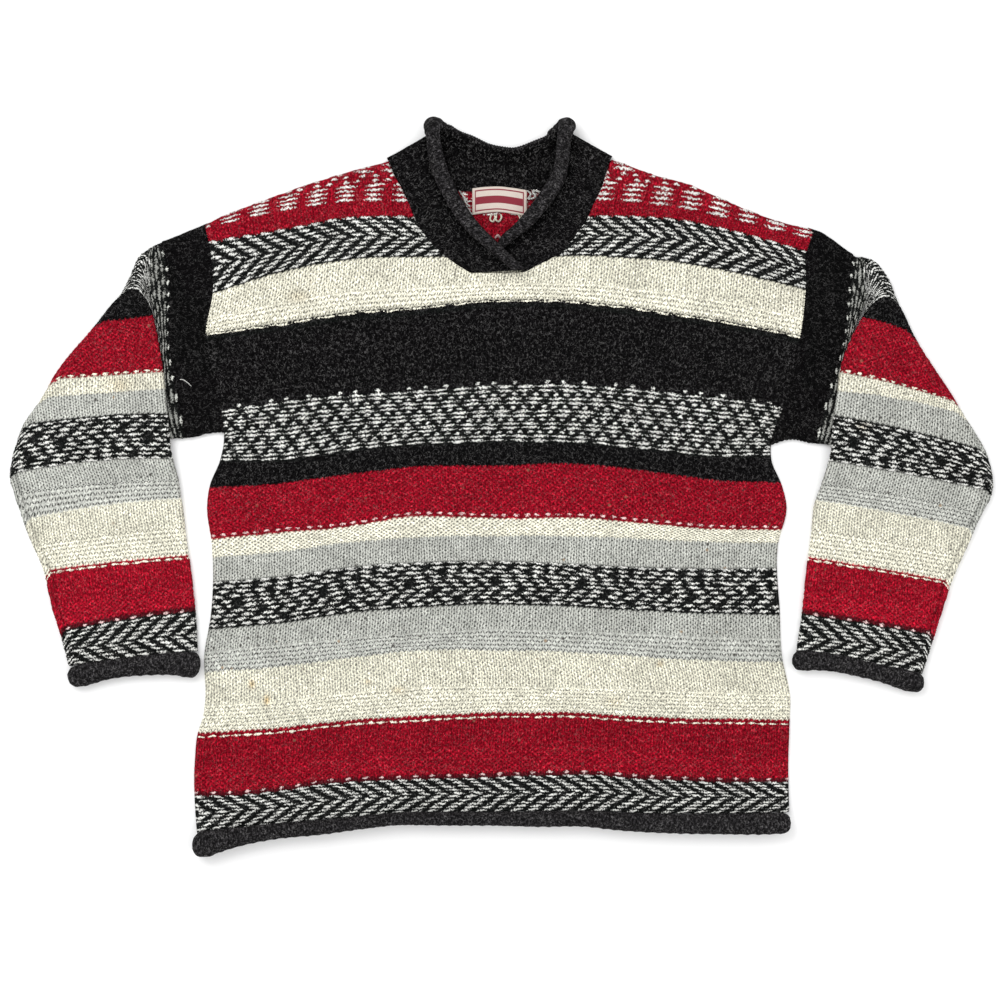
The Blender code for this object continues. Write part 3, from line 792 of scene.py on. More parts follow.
def raised(points, normal, fields, settings):
    """Points moved out along their normals by the height of the stitches."""
    return points + normal * (fields["height"] * settings.stitch_relief / MM)[..., None]


# ---------------------------------------------------------------- meshes

def normals_of(points):
    """Unit normal at each point of a grid, from the cross product of its two directions."""
    across = np.gradient(points, axis=1)
    along = np.gradient(points, axis=0)
    normal = np.cross(across, along)
    return normal / np.maximum(np.linalg.norm(normal, axis=-1, keepdims=True), 1e-9)


def grid_quads(rows, columns, ring=False):
    """Corner numbers of the quads of a grid of points, as rows of four."""
    row = np.arange(rows - 1)[:, None]
    column = np.arange(columns if ring else columns - 1)[None, :]
    after = np.mod(column + 1, columns)
    corners = (row * columns + column, row * columns + after, (row + 1) * columns + after,
               (row + 1) * columns + column)
    return np.stack(np.broadcast_arrays(*corners), axis=-1).reshape(-1, 4)


def trimmed(quads, dropped):
    """The quads that have a corner outside the dropped points."""
    return quads[~dropped.ravel()[quads].all(axis=1)]


def join_grids(grids):
    """Put several grids' points, quads and fields one after another."""
    points, quads, fields, first = [], [], [], 0
    for grid_points, grid_faces, grid_fields, _ in grids:
        points.append(grid_points.reshape(-1, 3))
        quads.append(grid_faces + first)
        fields.append({key: value.reshape(-1, *value.shape[2:]) for key, value in grid_fields.items()})
        first += points[-1].shape[0]
    joined = {key: np.concatenate([f[key] for f in fields]) for key in fields[0]}
    corners = {key: np.concatenate([grid[3][key] for grid in grids]) for key in grids[0][3]}
    return np.concatenate(points), np.concatenate(quads), joined, corners


def fill(items, key, values):
    """Write an array into a mesh's items in one call."""
    items.foreach_set(key, values.astype(np.float32).ravel())


def add_mesh(name, points, quads, material):
    """Make an object at the origin from points in millimetres and quads, without its unused points."""
    used = np.unique(quads)
    number = np.zeros(len(points), dtype=np.int64)
    number[used] = np.arange(len(used))
    quads = number[quads]
    mesh = bpy.data.meshes.new(name)
    mesh.vertices.add(len(used))
    fill(mesh.vertices, "co", points[used] * MM)
    mesh.loops.add(quads.size)
    mesh.loops.foreach_set("vertex_index", quads.astype(np.int32).ravel())
    mesh.polygons.add(len(quads))
    mesh.polygons.foreach_set("loop_start", np.arange(0, quads.size, 4, dtype=np.int32))
    mesh.polygons.foreach_set("use_smooth", np.ones(len(quads), dtype=bool))
    mesh.update(calc_edges=True)
    mesh.validate()
    mesh.materials.append(material)
    piece = bpy.data.objects.new(name, mesh)
    bpy.context.scene.collection.objects.link(piece)
    return piece, used, quads


def stain_strength(x, y):
    """How much of the soft tan stains lies at each point: bells at their places."""
    strength = np.zeros_like(x)
    for stain_x, stain_y, width, height, top in STAINS:
        strength += top * np.exp(-((x - stain_x) / width) ** 2 - ((y - stain_y) / height) ** 2)
    return np.clip(strength, 0.0, 1.0)


def knit_piece(settings, name, grids, node):
    """Make the knitted piece for a node, with its stitch map, its floats' map and its yarn attributes."""
    points, quads, fields, corners = join_grids(grids)
    piece, used, numbers = add_mesh(name, points, quads, wool(settings))
    mesh = piece.data
    stitches = np.stack([fields["u"], fields["v"]], axis=-1)[used][numbers.ravel()] / MAP_STITCHES
    fill(mesh.uv_layers.new(name="stitches").uv, "vector", stitches)
    fill(mesh.uv_layers.new(name="floats").uv, "vector", corners["float_place"])
    for key in ("stitch_kind", "figure"):
        fill(mesh.attributes.new(key, "FLOAT_COLOR", "CORNER").data, "color", corners[key])
    ground = fields["ground"][used]
    colour = np.concatenate([ground[:, :3], np.ones((len(used), 1))], axis=1)
    fill(mesh.attributes.new("ground", "FLOAT_COLOR", "POINT").data, "color", colour)
    stain = stain_strength(points[used, 0], points[used, 1])
    for key, values in (("hair", ground[:, 3]), ("neps", ground[:, 4]), ("stain", stain)):
        fill(mesh.attributes.new(key, "FLOAT", "POINT").data, "value", values)
    return place(piece, node)


def place(piece, node):
    """Let a piece ride on the garment's one body and stand for its node of the frame."""
    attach(piece, "root")
    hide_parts(node)
    return piece


# ---------------------------------------------------------------- materials

def connect(tree, node, inputs):
    """Link each of a node's inputs to a value, or set it to a constant."""
    for key, value in inputs.items():
        if isinstance(value, Value):
            tree.links.new(value.socket, node.inputs[key])
        else:
            node.inputs[key].default_value = value


def add_node(tree, kind, inputs, *outputs, **choices):
    """Make a node with these choices and inputs, and give its outputs of these names as values."""
    node = tree.nodes.new(kind)
    for key, choice in choices.items():
        setattr(node, key, choice)
    connect(tree, node, inputs)
    values = [Value(tree, node.outputs[output]) for output in outputs]
    return values if len(values) > 1 else values[0]


def math_node(tree, operation, *inputs):
    """One step of reckoning, with its operands in order."""
    return add_node(tree, "ShaderNodeMath", dict(enumerate(inputs)), "Value", operation=operation)


class Value:
    """A value in a shader tree. Reckoning with it adds the nodes that work out the result."""

    def __init__(self, tree, socket):
        self.tree = tree
        self.socket = socket

    def __add__(self, other):
        return math_node(self.tree, "ADD", self, other)

    def __sub__(self, other):
        return math_node(self.tree, "SUBTRACT", self, other)

    def __rsub__(self, other):
        return math_node(self.tree, "SUBTRACT", other, self)

    def __mul__(self, other):
        return math_node(self.tree, "MULTIPLY", self, other)

    def __abs__(self):
        return math_node(self.tree, "ABSOLUTE", self)

    def math(self, operation, *others):
        """Any other step of reckoning that starts from this value."""
        return math_node(self.tree, operation, self, *others)

    def cosine(self, cycles=1.0):
        """Cosine of so many turns of the value."""
        return (self * (2.0 * np.pi * cycles)).math("COSINE")

    def ramp(self, low, high, to_low=0.0, to_high=1.0):
        """Go smoothly from one level to another as the value goes from low to high."""
        inputs = {"Value": self, "From Min": low, "From Max": high, "To Min": to_low, "To Max": to_high}
        return add_node(self.tree, "ShaderNodeMapRange", inputs, "Result", interpolation_type="SMOOTHSTEP")

    def noise(self, scale, detail=2.0, roughness=0.5):
        """Soft noise at the point that the value gives."""
        inputs = {"Vector": self, "Scale": scale, "Detail": detail, "Roughness": roughness}
        return add_node(self.tree, "ShaderNodeTexNoise", inputs, "Fac")

    def plane(self):
        """First two parts of a vector."""
        return add_node(self.tree, "ShaderNodeSeparateXYZ", {"Vector": self}, "X", "Y")

    def channels(self):
        """Red, green and blue of a colour."""
        return add_node(self.tree, "ShaderNodeSeparateColor", {"Color": self}, "Red", "Green", "Blue")

    def mix(self, first, second):
        """Colour from the first to the second as the value goes from 0 to 1."""
        inputs = {"Factor": self, "A": first, "B": second}
        return add_node(self.tree, "ShaderNodeMix", inputs, "Result", data_type="RGBA")

    def blend(self, way, other):
        """This colour multiplied by the other one, or added to it."""
        inputs = {"Factor": 1.0, "A": self, "B": other}
        return add_node(self.tree, "ShaderNodeMix", inputs, "Result", data_type="RGBA", blend_type=way)

    def bump(self, strength, distance):
        """Normal of a surface that the value raises by up to this distance."""
        inputs = {"Height": self, "Strength": strength, "Distance": distance}
        return add_node(self.tree, "ShaderNodeBump", inputs, "Normal")


def stitch_numbers(stitches):
    """Stitch number and course number from the stitch map."""
    return [part * MAP_STITCHES for part in stitches.plane()]


def float_lens(floats):
    """How far inside its float a point is: 1 - |t|^1.5 - |d|^1.2, below 0 outside."""
    along, across = floats.plane()
    lens = 1.0 - abs(along).math("POWER", 1.5) - abs(across).math("POWER", 1.2)
    return lens.math("MAXIMUM", -1.0)


def stitch_gaps(stitches, kind, shown, lens, position):
    """Depth of the gaps between the stitches, from 0 on the yarn to 1. It gives the yarn's bump and how much
    painted shade the gaps get.

    Plain: both legs of a stitch lean inwards to its foot; the gap is the distance from a leg's middle.
    Purl: a groove along each course that goes up and down once a stitch, deepest on its slopes, half a stitch
    further along in every other course.
    Seed: dots that change places from course to course.
    Float: the distance out from the float.
    """
    bend = position.noise(260.0)
    across, along = stitch_numbers(stitches)
    across = across + bend * 0.5
    along = along + bend * 0.6
    side = across.math("PINGPONG", 0.5)
    leg = (0.5 - along.math("FRACT")) * 0.2 + 0.25
    spots = (along - side).cosine().ramp(-1.0, 1.0, 0.45, 1.0)
    plain = abs(side - leg).ramp(0.08, 0.24) * spots
    plain = plain.math("MAXIMUM", side.ramp(0.0, 0.11, 0.75, 0.0))
    staggered = across + along.math("FLOOR") * 0.5
    groove = (along + staggered.cosine() * 0.24).cosine().ramp(-0.75, 0.25, 1.0, 0.0)
    purl = groove * across.cosine(2.0).ramp(-1.0, 1.0, 1.0, 0.25)
    seed = (across.cosine() * along.cosine()).ramp(-0.2, 0.9)
    depth = shown * lens.ramp(-0.1, 0.75, 1.0, 0.0) * 0.55
    for share, pattern in zip(kind.channels(), (plain, purl, seed)):
        depth = depth + share * pattern
    return depth


def yarn_colour(ground, figure, lens, depth, hair, neps, stain, gap_shade, position, stitches):
    """Ground or figure yarn by its float, mottled along the stitches, with small neps, and painted shade in
    the gaps.
    """
    fibre = position.noise(FIBRE_SCALE, 3.0, 0.62)
    mask = (lens + fibre.ramp(0.36, 0.64, -0.75, 0.6)).ramp(-0.05, 0.3)
    # Painted light and shade: the broad noise (wide) makes soft patches paler and darker, in place of the
    # shading of the cloth's folds.
    wide = position.noise(30.0).ramp(0.3, 0.7, 0.90, 1.06)
    patch = position.noise(170.0, 2.0, 0.6).ramp(0.3, 0.7, 0.84, 1.12)
    # Painted shade: the ground is darkened in the gaps between the stitches and round the floats, by their
    # depth, less where the yarn is hairy.
    gap = depth * gap_shade * hair.ramp(0.0, 1.0, 1.0, 0.35)
    level = wide * patch * fibre.ramp(0.32, 0.68, 0.64, 1.22) * (1.0 - gap)

    # Heather: dark and pale streaks along the stitches, then pale curled fibres.
    streaks = add_node(ground.tree, "ShaderNodeVectorMath", {0: stitches, 1: STREAKS}, "Vector",
                       operation="MULTIPLY")
    mottle = streaks.noise(1.0, 3.0, 0.65)
    ground_hair = hair * mask.ramp(0.0, 1.0, 1.0, 0.3)
    dark = mottle.ramp(0.36, 0.52, -0.55, 0.0)
    light = mottle.ramp(0.50, 0.68, 0.0, 4.5)
    mottle = (dark + light * ground_hair) * ground_hair
    level = level * (mottle + 1.0).math("MAXIMUM", 0.12)
    colour = mask.mix(ground, figure).blend("MULTIPLY", level)
    pale = colour.blend("MULTIPLY", PALE_SHARE).blend("ADD", PALE_TINT)
    for size, limit in CURLS:
        off = abs(position.noise(size, 1.0) - limit)
        curl = off.ramp(0.008, 0.032, 1.0, 0.0) * position.noise(0.9 * size, 1.0).ramp(0.49, 0.56)
        colour = (curl * ground_hair * 0.8).mix(colour, pale)

    # Neps: a small dark or tan spot in about one cell out of five.
    distance, own = add_node(ground.tree, "ShaderNodeTexVoronoi", {"Vector": position, "Scale": NEP_SCALE},
                             "Distance", "Color")
    chosen, kind, _ = own.channels()
    small = (distance + fibre * 0.22).ramp(0.20, 0.36, 0.9, 0.0)
    nep = small * chosen.ramp(0.78, 0.80) * neps * mask.ramp(0.0, 1.0, 1.0, 0.2)
    colour = nep.mix(colour, kind.ramp(0.75, 0.85).mix(DARK_NEP, TAN_NEP))
    return stain.mix(colour, colour.blend("MULTIPLY", STAIN_TINT))


def yarn_relief(stitches, position, depth, strength):
    """Normal of the yarn: the gaps, fine plies that slope across each stitch, and loose fibres."""
    across, along = stitch_numbers(stitches)
    plies = (along + across.math("PINGPONG", 0.5)).cosine(3.0)
    height = plies * 0.14 + position.noise(900.0, 3.0, 0.65) - depth * 0.7
    return height.bump(strength, 0.0011)


NUMBER, VECTOR, COLOUR = "NodeSocketFloat", "NodeSocketVector", "NodeSocketColor"
ORIGIN = (0.0, 0.0, 0.0)
GROUPS = {
    # name: formula, output, its kind, then each input with its kind and default
    "Float lens": (float_lens, "Lens", NUMBER, {"Floats": (VECTOR, (NO_FLOAT, 0.0, 0.0))}),
    "Stitch gaps": (stitch_gaps, "Depth", NUMBER, {
        "Stitches": (VECTOR, ORIGIN),
        "Kind": (COLOUR, (1.0, 0.0, 0.0, 1.0)),
        "Shown": (NUMBER, 0.0),
        "Lens": (NUMBER, 0.0),
        "Place": (VECTOR, ORIGIN),
    }),
    "Yarn colour": (yarn_colour, "Colour", COLOUR, {
        "Ground": (COLOUR, (0.5, 0.5, 0.5, 1.0)),
        "Figure": (COLOUR, (0.8, 0.8, 0.8, 1.0)),
        "Lens": (NUMBER, 0.0),
        "Depth": (NUMBER, 0.0),
        "Hair": (NUMBER, 0.5),
        "Neps": (NUMBER, 0.5),
        "Stain": (NUMBER, 0.0),
        "Gap shade": (NUMBER, 0.5),
        "Place": (VECTOR, ORIGIN),
        "Stitches": (VECTOR, ORIGIN),
    }),
    "Yarn relief": (yarn_relief, "Normal", VECTOR, {
        "Stitches": (VECTOR, ORIGIN),
        "Place": (VECTOR, ORIGIN),
        "Depth": (NUMBER, 0.0),
        "Strength": (NUMBER, 0.5),
    }),
}


def use_group(tree, name, inputs):
    """Add a shader group to a tree, making the group itself the first time, and give its output."""
    formula, output, kind, sockets = GROUPS[name]
    group = bpy.data.node_groups.get(name)
    if group is None:
        group = bpy.data.node_groups.new(name, "ShaderNodeTree")
        for label, (socket_kind, default) in sockets.items():
            group.interface.new_socket(label, in_out="INPUT", socket_type=socket_kind).default_value = default
        group.interface.new_socket(output, in_out="OUTPUT", socket_type=kind)
        given = group.nodes.new("NodeGroupInput")
        result = formula(*[Value(group, given.outputs[label]) for label in sockets])
        connect(group, group.nodes.new("NodeGroupOutput"), {output: result})
    return add_node(tree, "ShaderNodeGroup", inputs, output, node_tree=group)


def new_material(name, roughness, specular):
    """Make a material and give its shader too, with these constants on its own sockets."""
    material = bpy.data.materials.new(name)
    material.use_nodes = True
    shader = material.node_tree.nodes["Principled BSDF"]
    shader.inputs["Roughness"].default_value = roughness
    shader.inputs["Specular IOR Level"].default_value = specular
    return material, shader


def attribute(tree, name, output="Fac"):
    """One of the piece's own attributes."""
    return add_node(tree, "ShaderNodeAttribute", {}, output, attribute_name=name)


def wool(settings):
    """Matt wool that reads its yarns, figure and gaps from the piece's own attributes."""
    if "Striped wool" in bpy.data.materials:
        return bpy.data.materials["Striped wool"]
    material, shader = new_material("Striped wool", 0.92, 0.04)
    tree = material.node_tree
    shared = {
        "Place": add_node(tree, "ShaderNodeTexCoord", {}, "Object"),
        "Stitches": add_node(tree, "ShaderNodeUVMap", {}, "UV", uv_map="stitches"),
    }
    floats = add_node(tree, "ShaderNodeUVMap", {}, "UV", uv_map="floats")
    lens = use_group(tree, "Float lens", {"Floats": floats})
    depth = use_group(tree, "Stitch gaps", {
        "Lens": lens,
        "Kind": attribute(tree, "stitch_kind", "Color"),
        "Shown": attribute(tree, "stitch_kind", "Alpha"),
        **shared,
    })
    colour = use_group(tree, "Yarn colour", {
        "Ground": attribute(tree, "ground", "Color"),
        "Figure": attribute(tree, "figure", "Color"),
        "Hair": attribute(tree, "hair"),
        "Neps": attribute(tree, "neps"),
        "Stain": attribute(tree, "stain"),
        "Gap shade": settings.gap_shade,
        "Lens": lens,
        "Depth": depth,
        **shared,
    })
    normal = use_group(tree, "Yarn relief", {"Depth": depth, "Strength": settings.fibre_relief, **shared})
    connect(tree, shader, {"Base Color": colour, "Normal": normal})
    return material


def label_material(ground, stripe):
    """Woven label: pale border, thin outline and a plain stripe along the middle, with fine weft ribs."""
    material, shader = new_material("Woven label", 0.6, 0.3)
    tree = material.node_tree
    x, y = add_node(tree, "ShaderNodeTexCoord", {}, "UV").plane()
    from_middle_x, from_middle_y = abs(x - 0.5), abs(y - 0.5)
    inner = from_middle_x.ramp(0.445, 0.45, 1.0, 0.0) * from_middle_y.ramp(0.40, 0.415, 1.0, 0.0)
    core_x = from_middle_x.ramp(0.425, 0.43, 1.0, 0.0)
    line = inner - core_x * from_middle_y.ramp(0.35, 0.365, 1.0, 0.0)
    middle = from_middle_y.ramp(0.135, 0.15, 1.0, 0.0) * core_x
    colour = line.mix((*ground, 1.0), (*stripe, 1.0))
    colour = middle.mix(colour, (*stripe, 1.0))
    weave = (y * 420.0).math("SINE") * (x * 620.0).math("SINE")
    colour = colour.blend("MULTIPLY", weave.ramp(-1.0, 1.0, 0.86, 1.05))
    connect(tree, shader, {"Base Color": colour, "Normal": weave.bump(0.4, 0.0003)})
    return material


# ---------------------------------------------------------------- body

def panel_plan(u, v, top_table):
    """Plan of a body panel: x, y cut off at the top edge, how far over it they were, distance to the side.

    A course's height is mixed from the two lines it lies between; its ends are on the side edges.
    """
    share = u / BODY_STITCHES
    places = LINE_PLACES[0] + share * (LINE_PLACES[-1] - LINE_PLACES[0])
    lines = smooth(LINE_PLACES, np.array(BODY_LINES).T, places).T
    band = np.clip(np.searchsorted(BODY_COUNTS, v, side="right") - 1, 0, len(BODY_BANDS) - 1)
    rise = ((v - BODY_COUNTS[band]) / (BODY_COUNTS[band + 1] - BODY_COUNTS[band]))[:, None]
    y = lines[band] * (1.0 - rise) + lines[band + 1] * rise
    sides = np.array(SIDES, dtype=float)
    left = smooth(sides[:, 0], sides[:, 1], y[:, 0])[:, None]
    right = smooth(sides[:, 0], sides[:, 2], y[:, -1])[:, None]
    x = left + (right - left) * share
    limit = np.interp(x, *np.array(top_table, dtype=float).T)
    return x, np.minimum(y, limit), y - limit, np.minimum(x - left, right - x), limit


def front_height(x, y, side, limit):
    """Height of the front's face: down at the edges, puffed in the middle, with its soft folds."""
    hem_x, hem_y, _ = np.array(HEM_PATH, dtype=float).T
    start = np.interp(x, hem_x, hem_y)
    share = (y - start) / (limit - start)
    inside = ease(side / FRONT_WIDTH / EDGE_SHARE) * ease(share / EDGE_SHARE)
    inside *= ease((1.0 - share) / EDGE_SHARE)
    z = FRONT_TOP_LEVEL + HEM_CLIMB * (1.0 - ease(share / HEM_CLIMB_SHARE))
    z += inside * (FRONT_PUFF + ridge_height(x, y) + 0.5 * waver(x, y, 90.0, 2.0))
    below = 1.0 - ease((y - ARMPIT_Y) / ARMPIT_EASE)
    dip = SEAM_DIP * np.exp(-side / SEAM_WIDTH)
    z = z * (round_over(side / SIDE_ROUND) * below + 1.0 - below) - dip * (1.0 - below)
    gap = np.where(np.abs(x) > SHOULDER_INNER_X, limit - y, 5.0 * SHOULDER_ROUND)
    fall = round_over(gap / SHOULDER_ROUND)
    return UNDER_GAP + (z - UNDER_GAP) * (SHOULDER_LEVEL + (1.0 - SHOULDER_LEVEL) * fall)


def front_grid(settings, first, last, chart):
    """The courses from first to last of the front panel."""
    v = steps_of(last, POINTS_PER_COURSE)[first * POINTS_PER_COURSE:]
    u = steps_of(BODY_STITCHES, POINTS_PER_STITCH)
    x, y, over, side, limit = panel_plan(u, v, FRONT_TOP)
    z = front_height(x, y, side, limit)
    keep = ease(side / 6.0)
    x = x + keep * (0.7 * waver(x, y, 31.0, 1.0) + 0.35 * waver(x, y, 11.0, 6.0))
    y = y + keep * (0.8 * waver(x, y, 37.0, 3.0) + 0.4 * waver(x, y, 9.0, 8.0))
    points = np.stack([x, np.minimum(y, limit), z], axis=-1)
    fields = knit_fields(chart, u[None, :], v[:, None], 0.35 + 0.65 * ease(side / 5.0))
    points = raised(points, normals_of(points), fields, settings)
    return knit_grid(points, trimmed(grid_quads(*x.shape), over > 0), fields, chart)


def back_grid(chart):
    """Underside of the back panel, at half the front's fineness, turned to face down."""
    v = steps_of(BODY_COURSES, BACK_POINTS)
    u = steps_of(BODY_STITCHES, BACK_POINTS)
    x, y, over, side, _ = panel_plan(u, v, BACK_TOP)
    fields = knit_fields(chart, u[None, :] + 0.25, v[:, None] + 0.17)
    z = UNDER_GAP + 0.75 - np.clip(fields["height"], 0.0, 1.0) * 0.7 + 0.3 * ease(1.0 - side / 5.0)
    quads = trimmed(grid_quads(*x.shape)[:, ::-1], over > 0)
    return knit_grid(np.stack([x, y, z], axis=-1), quads, fields, chart)


def neck_grid(settings):
    """The inside of the back that shows in the neck opening: red, with stranded yarn behind the check."""
    left, right, lower, upper = NECK_PATCH
    stitches, courses = int((right - left) / STITCH_WIDTH), int((upper - lower) / COURSE_HEIGHT)
    check = (9, "float", "red", "white", "check")
    chart = chart_of(((courses - check[0], "purl", "red"), check), stitches, settings)
    u = steps_of(stitches, POINTS_PER_STITCH)[None, :]
    v = steps_of(courses, POINTS_PER_COURSE)[:, None]
    x, y = np.broadcast_arrays(left + u * STITCH_WIDTH, lower + v * COURSE_HEIGHT)
    fields = knit_fields(chart, u, v)
    z = BACK_LEVEL_TOP - 0.6 + np.clip(fields["height"], 0.0, 1.2) * 0.8
    points = np.stack([x + 0.6 * waver(x, y, 21.0, 3.0), y + 0.6 * waver(x, y, 17.0, 9.0), z], axis=-1)
    return knit_grid(points, grid_quads(*x.shape), fields, chart)


def yarn_grids(strands, settings):
    """Loose strands: a round tube along a smooth curve through each one's points."""
    grids = []
    for yarn, radius, marks in strands:
        marks = np.array(marks, dtype=float)
        line = smooth(np.arange(len(marks)), marks, np.linspace(0.0, len(marks) - 1.0, 8 * len(marks)))
        ahead = np.gradient(line, axis=0)
        ahead /= np.linalg.norm(ahead, axis=1, keepdims=True)
        side = np.cross(ahead, UP)
        side /= np.linalg.norm(side, axis=1, keepdims=True)
        lift = np.cross(side, ahead)
        turn = np.linspace(0.0, 2.0 * np.pi, STRAND_SIDES)[None, :, None]
        end = np.linspace(0.0, 1.0, len(line))
        taper = (radius * np.sqrt(np.clip(1.0 - (2.0 * end - 1.0) ** 8, 0.02, 1.0)))[:, None, None]
        points = line[:, None] + taper * (np.cos(turn) * side[:, None] + np.sin(turn) * lift[:, None])
        chart = chart_of(((2, "plain", yarn),), len(line), settings)
        u = np.arange(len(line))[:, None] * 0.25
        fields = knit_fields(chart, u, np.linspace(0.0, 1.9, STRAND_SIDES)[None, :], 0.2)
        grids.append(knit_grid(points, grid_quads(*points.shape[:2]), fields, chart))
    return grids


# ---------------------------------------------------------------- sleeves

def sleeve_plan(control, t):
    """Points at these shares of each row, on the one polynomial through the row's evenly spaced points."""
    keys = np.linspace(0.0, 1.0, control.shape[1])
    weights = []
    for here in keys:
        others = keys[keys != here]
        weights.append(np.prod([(t - other) / (here - other) for other in others], axis=0))
    return np.einsum("crk,rcd->rkd", np.stack(weights), control)


def row_lengths(control):
    """Length of each row's curve, in millimetres."""
    t = np.broadcast_to(np.linspace(0.0, 1.0, LENGTH_POINTS), (len(control), LENGTH_POINTS))
    points = sleeve_plan(control, t)
    return np.linalg.norm(np.diff(points, axis=1), axis=-1).sum(axis=1)[:, None]


def layers_under(tube, along):
    """Height of the layers under a sleeve, which end a little way from its first edge."""
    return tube["lift"] * (1.0 - ease((along - tube["reach"]) / PLY_FADE))


def tube_top(tube, s):
    """Upper layer of a flattened tube, followed round both of its folds.

    The section is a flat top between two half circles as thick as the tube. s is the distance over the
    surface from where the top starts. The layers underneath lift it near its first edge.
    """
    length = row_lengths(tube["control"])
    radius = tube["thick"] / 2.0
    near, far = s / radius, (s - (length - 2.0 * radius)) / radius
    hidden = (near < -TURN_LIMIT) | (far > TURN_LIMIT)
    near, far = np.clip(near, -TURN_LIMIT, 0.0), np.clip(far, 0.0, TURN_LIMIT)
    along = radius + np.clip(s, 0.0, length - 2.0 * radius) + radius * (np.sin(near) + np.sin(far))
    rise = np.cos(near + far)
    t = along / length
    crown = tube["crown"] * np.sin(np.pi * np.clip(t, 0.0, 1.0)) * (0.5 + 0.5 * rise)
    z = layers_under(tube, along) + radius + radius * rise + crown
    return np.concatenate([sleeve_plan(tube["control"], t), z[..., None]], axis=-1), hidden, length, t


def tube_grid(settings, tube, v, chart, stitch_width, flip, turned=0.0):
    """Knitting on the upper layer of a flattened tube; flip turns the faces of a mirrored one.

    Beyond a soft crease near the outer edge the courses drop by the number of courses in turned.
    """
    widest = row_lengths(tube["control"]).max()
    u = steps_of(int(np.ceil((widest + SPARE_WIDTH) / stitch_width)) + ROUND_STITCHES, POINTS_PER_STITCH)
    s = np.broadcast_to((u - ROUND_STITCHES) * stitch_width, (len(v), len(u)))
    points, hidden, length, t = tube_top(tube, s)
    middle = np.sin(np.pi * np.clip(t, 0.0, 1.0))
    for axis, strength, size, seed in ((0, 0.6, 29.0, 5.0), (1, 0.7, 33.0, 7.0), (2, 0.6, 70.0, 2.0)):
        points[..., axis] += strength * middle * waver(points[..., 0], points[..., 1], size, seed)
    past = s - (length - TURNED_EDGE)
    drop = turned * np.clip(past / TURNED_EDGE, 0.0, 1.0)
    fields = knit_fields(chart, u[None, :], np.maximum(v[:, None] - drop, 0.0))
    crease = ease((v[:, None] - CREASE_COURSE) / CREASE_EASE) * np.exp(-(past / CREASE_WIDTH) ** 2)
    crease *= (turned > 0.0) * (0.65 + 0.35 * waver(points[..., 0], points[..., 1], 24.0, 11.0))
    points[..., 2] -= CREASE_DEPTH * crease
    # Painted shade: the ground yarn is darkened by up to a half along the crease.
    fields = toned(fields, 1.0 - 0.5 * crease[..., None])
    points = raised(points, normals_of(points) * (-1.0 if flip else 1.0), fields, settings)
    points[..., 2] = np.maximum(points[..., 2], UNDER_GAP)
    quads = grid_quads(*s.shape)
    quads = quads[~hidden.ravel()[quads].any(axis=1)]
    return knit_grid(points, quads[:, ::-1] if flip else quads, fields, chart)


def tube_under(tube, v, chart, flip):
    """Lower layer of a flattened tube, close to what it lies on, facing down."""
    t = np.broadcast_to(np.linspace(0.02, 0.98, UNDER_POINTS), (len(v), UNDER_POINTS))
    along = t * row_lengths(tube["control"])
    fields = knit_fields(chart, along / STITCH_WIDTH, v[:, None])
    z = layers_under(tube, along) + UNDER_GAP + 0.5 - 0.4 * np.clip(fields["height"], 0.0, 1.0)
    points = np.concatenate([sleeve_plan(tube["control"], t), z[..., None]], axis=-1)
    quads = grid_quads(*t.shape)
    return knit_grid(points, quads if flip else quads[:, ::-1], fields, chart)


def course_table(lines):
    """Course number at each row of points, at each line, and the table's rows carried on smoothly."""
    rows = np.array(lines, dtype=float)
    counts = np.concatenate([[0.0], np.cumsum(rows[:-1, 0])])
    v = steps_of(int(counts[-1]), POINTS_PER_COURSE)
    return v, counts, smooth(counts, rows[:, 1:], v)


def sleeve_grids(settings, lines, flip):
    """Upper and lower layer of a sleeve's arm."""
    v, _, table = course_table(lines)
    chart = chart_of(SLEEVE_BANDS, TABLE_STITCHES, settings)
    lift, reach, thick = np.maximum(table[:, 6:], 0.0).T[..., None]
    tube = {"control": table[:, :6].reshape(len(v), 3, 2), "lift": lift, "reach": reach, "thick": thick}
    tube["crown"] = SLEEVE_CROWN * ease(v / CROWN_COURSES)[:, None]
    top = tube_grid(settings, tube, v, chart, STITCH_WIDTH, flip, TURNED_COURSES)
    coarse = {key: value[::2] for key, value in tube.items()}
    return [top, tube_under(coarse, v[::2], chart, flip)]


def upper_grids(settings, lines, flip):
    """Upper and lower layer of a sleeve's top, which dips into the armhole seam."""
    v, counts, table = course_table(lines)
    chart = chart_of(UPPER_BANDS, TABLE_STITCHES, settings)
    flat = np.zeros((len(v), 1))
    tube = {"control": table.reshape(len(v), 5, 2), "lift": flat, "reach": flat, "thick": flat + UPPER_THICK}
    tube["crown"] = UPPER_CROWN * np.sin(np.pi * np.clip(v / counts[-2], 0.0, 1.0))[:, None]
    seam = {"lift": -ARMHOLE_DIP * np.exp(-v / ARMHOLE_COURSES)[:, None], "reach": flat + WHOLE_SLEEVE}
    top = tube_grid(settings, {**tube, **seam}, v, chart, UPPER_STITCH_WIDTH, flip)
    return [top, tube_under(tube, v, chart, flip)]


# ---------------------------------------------------------------- rolled edges

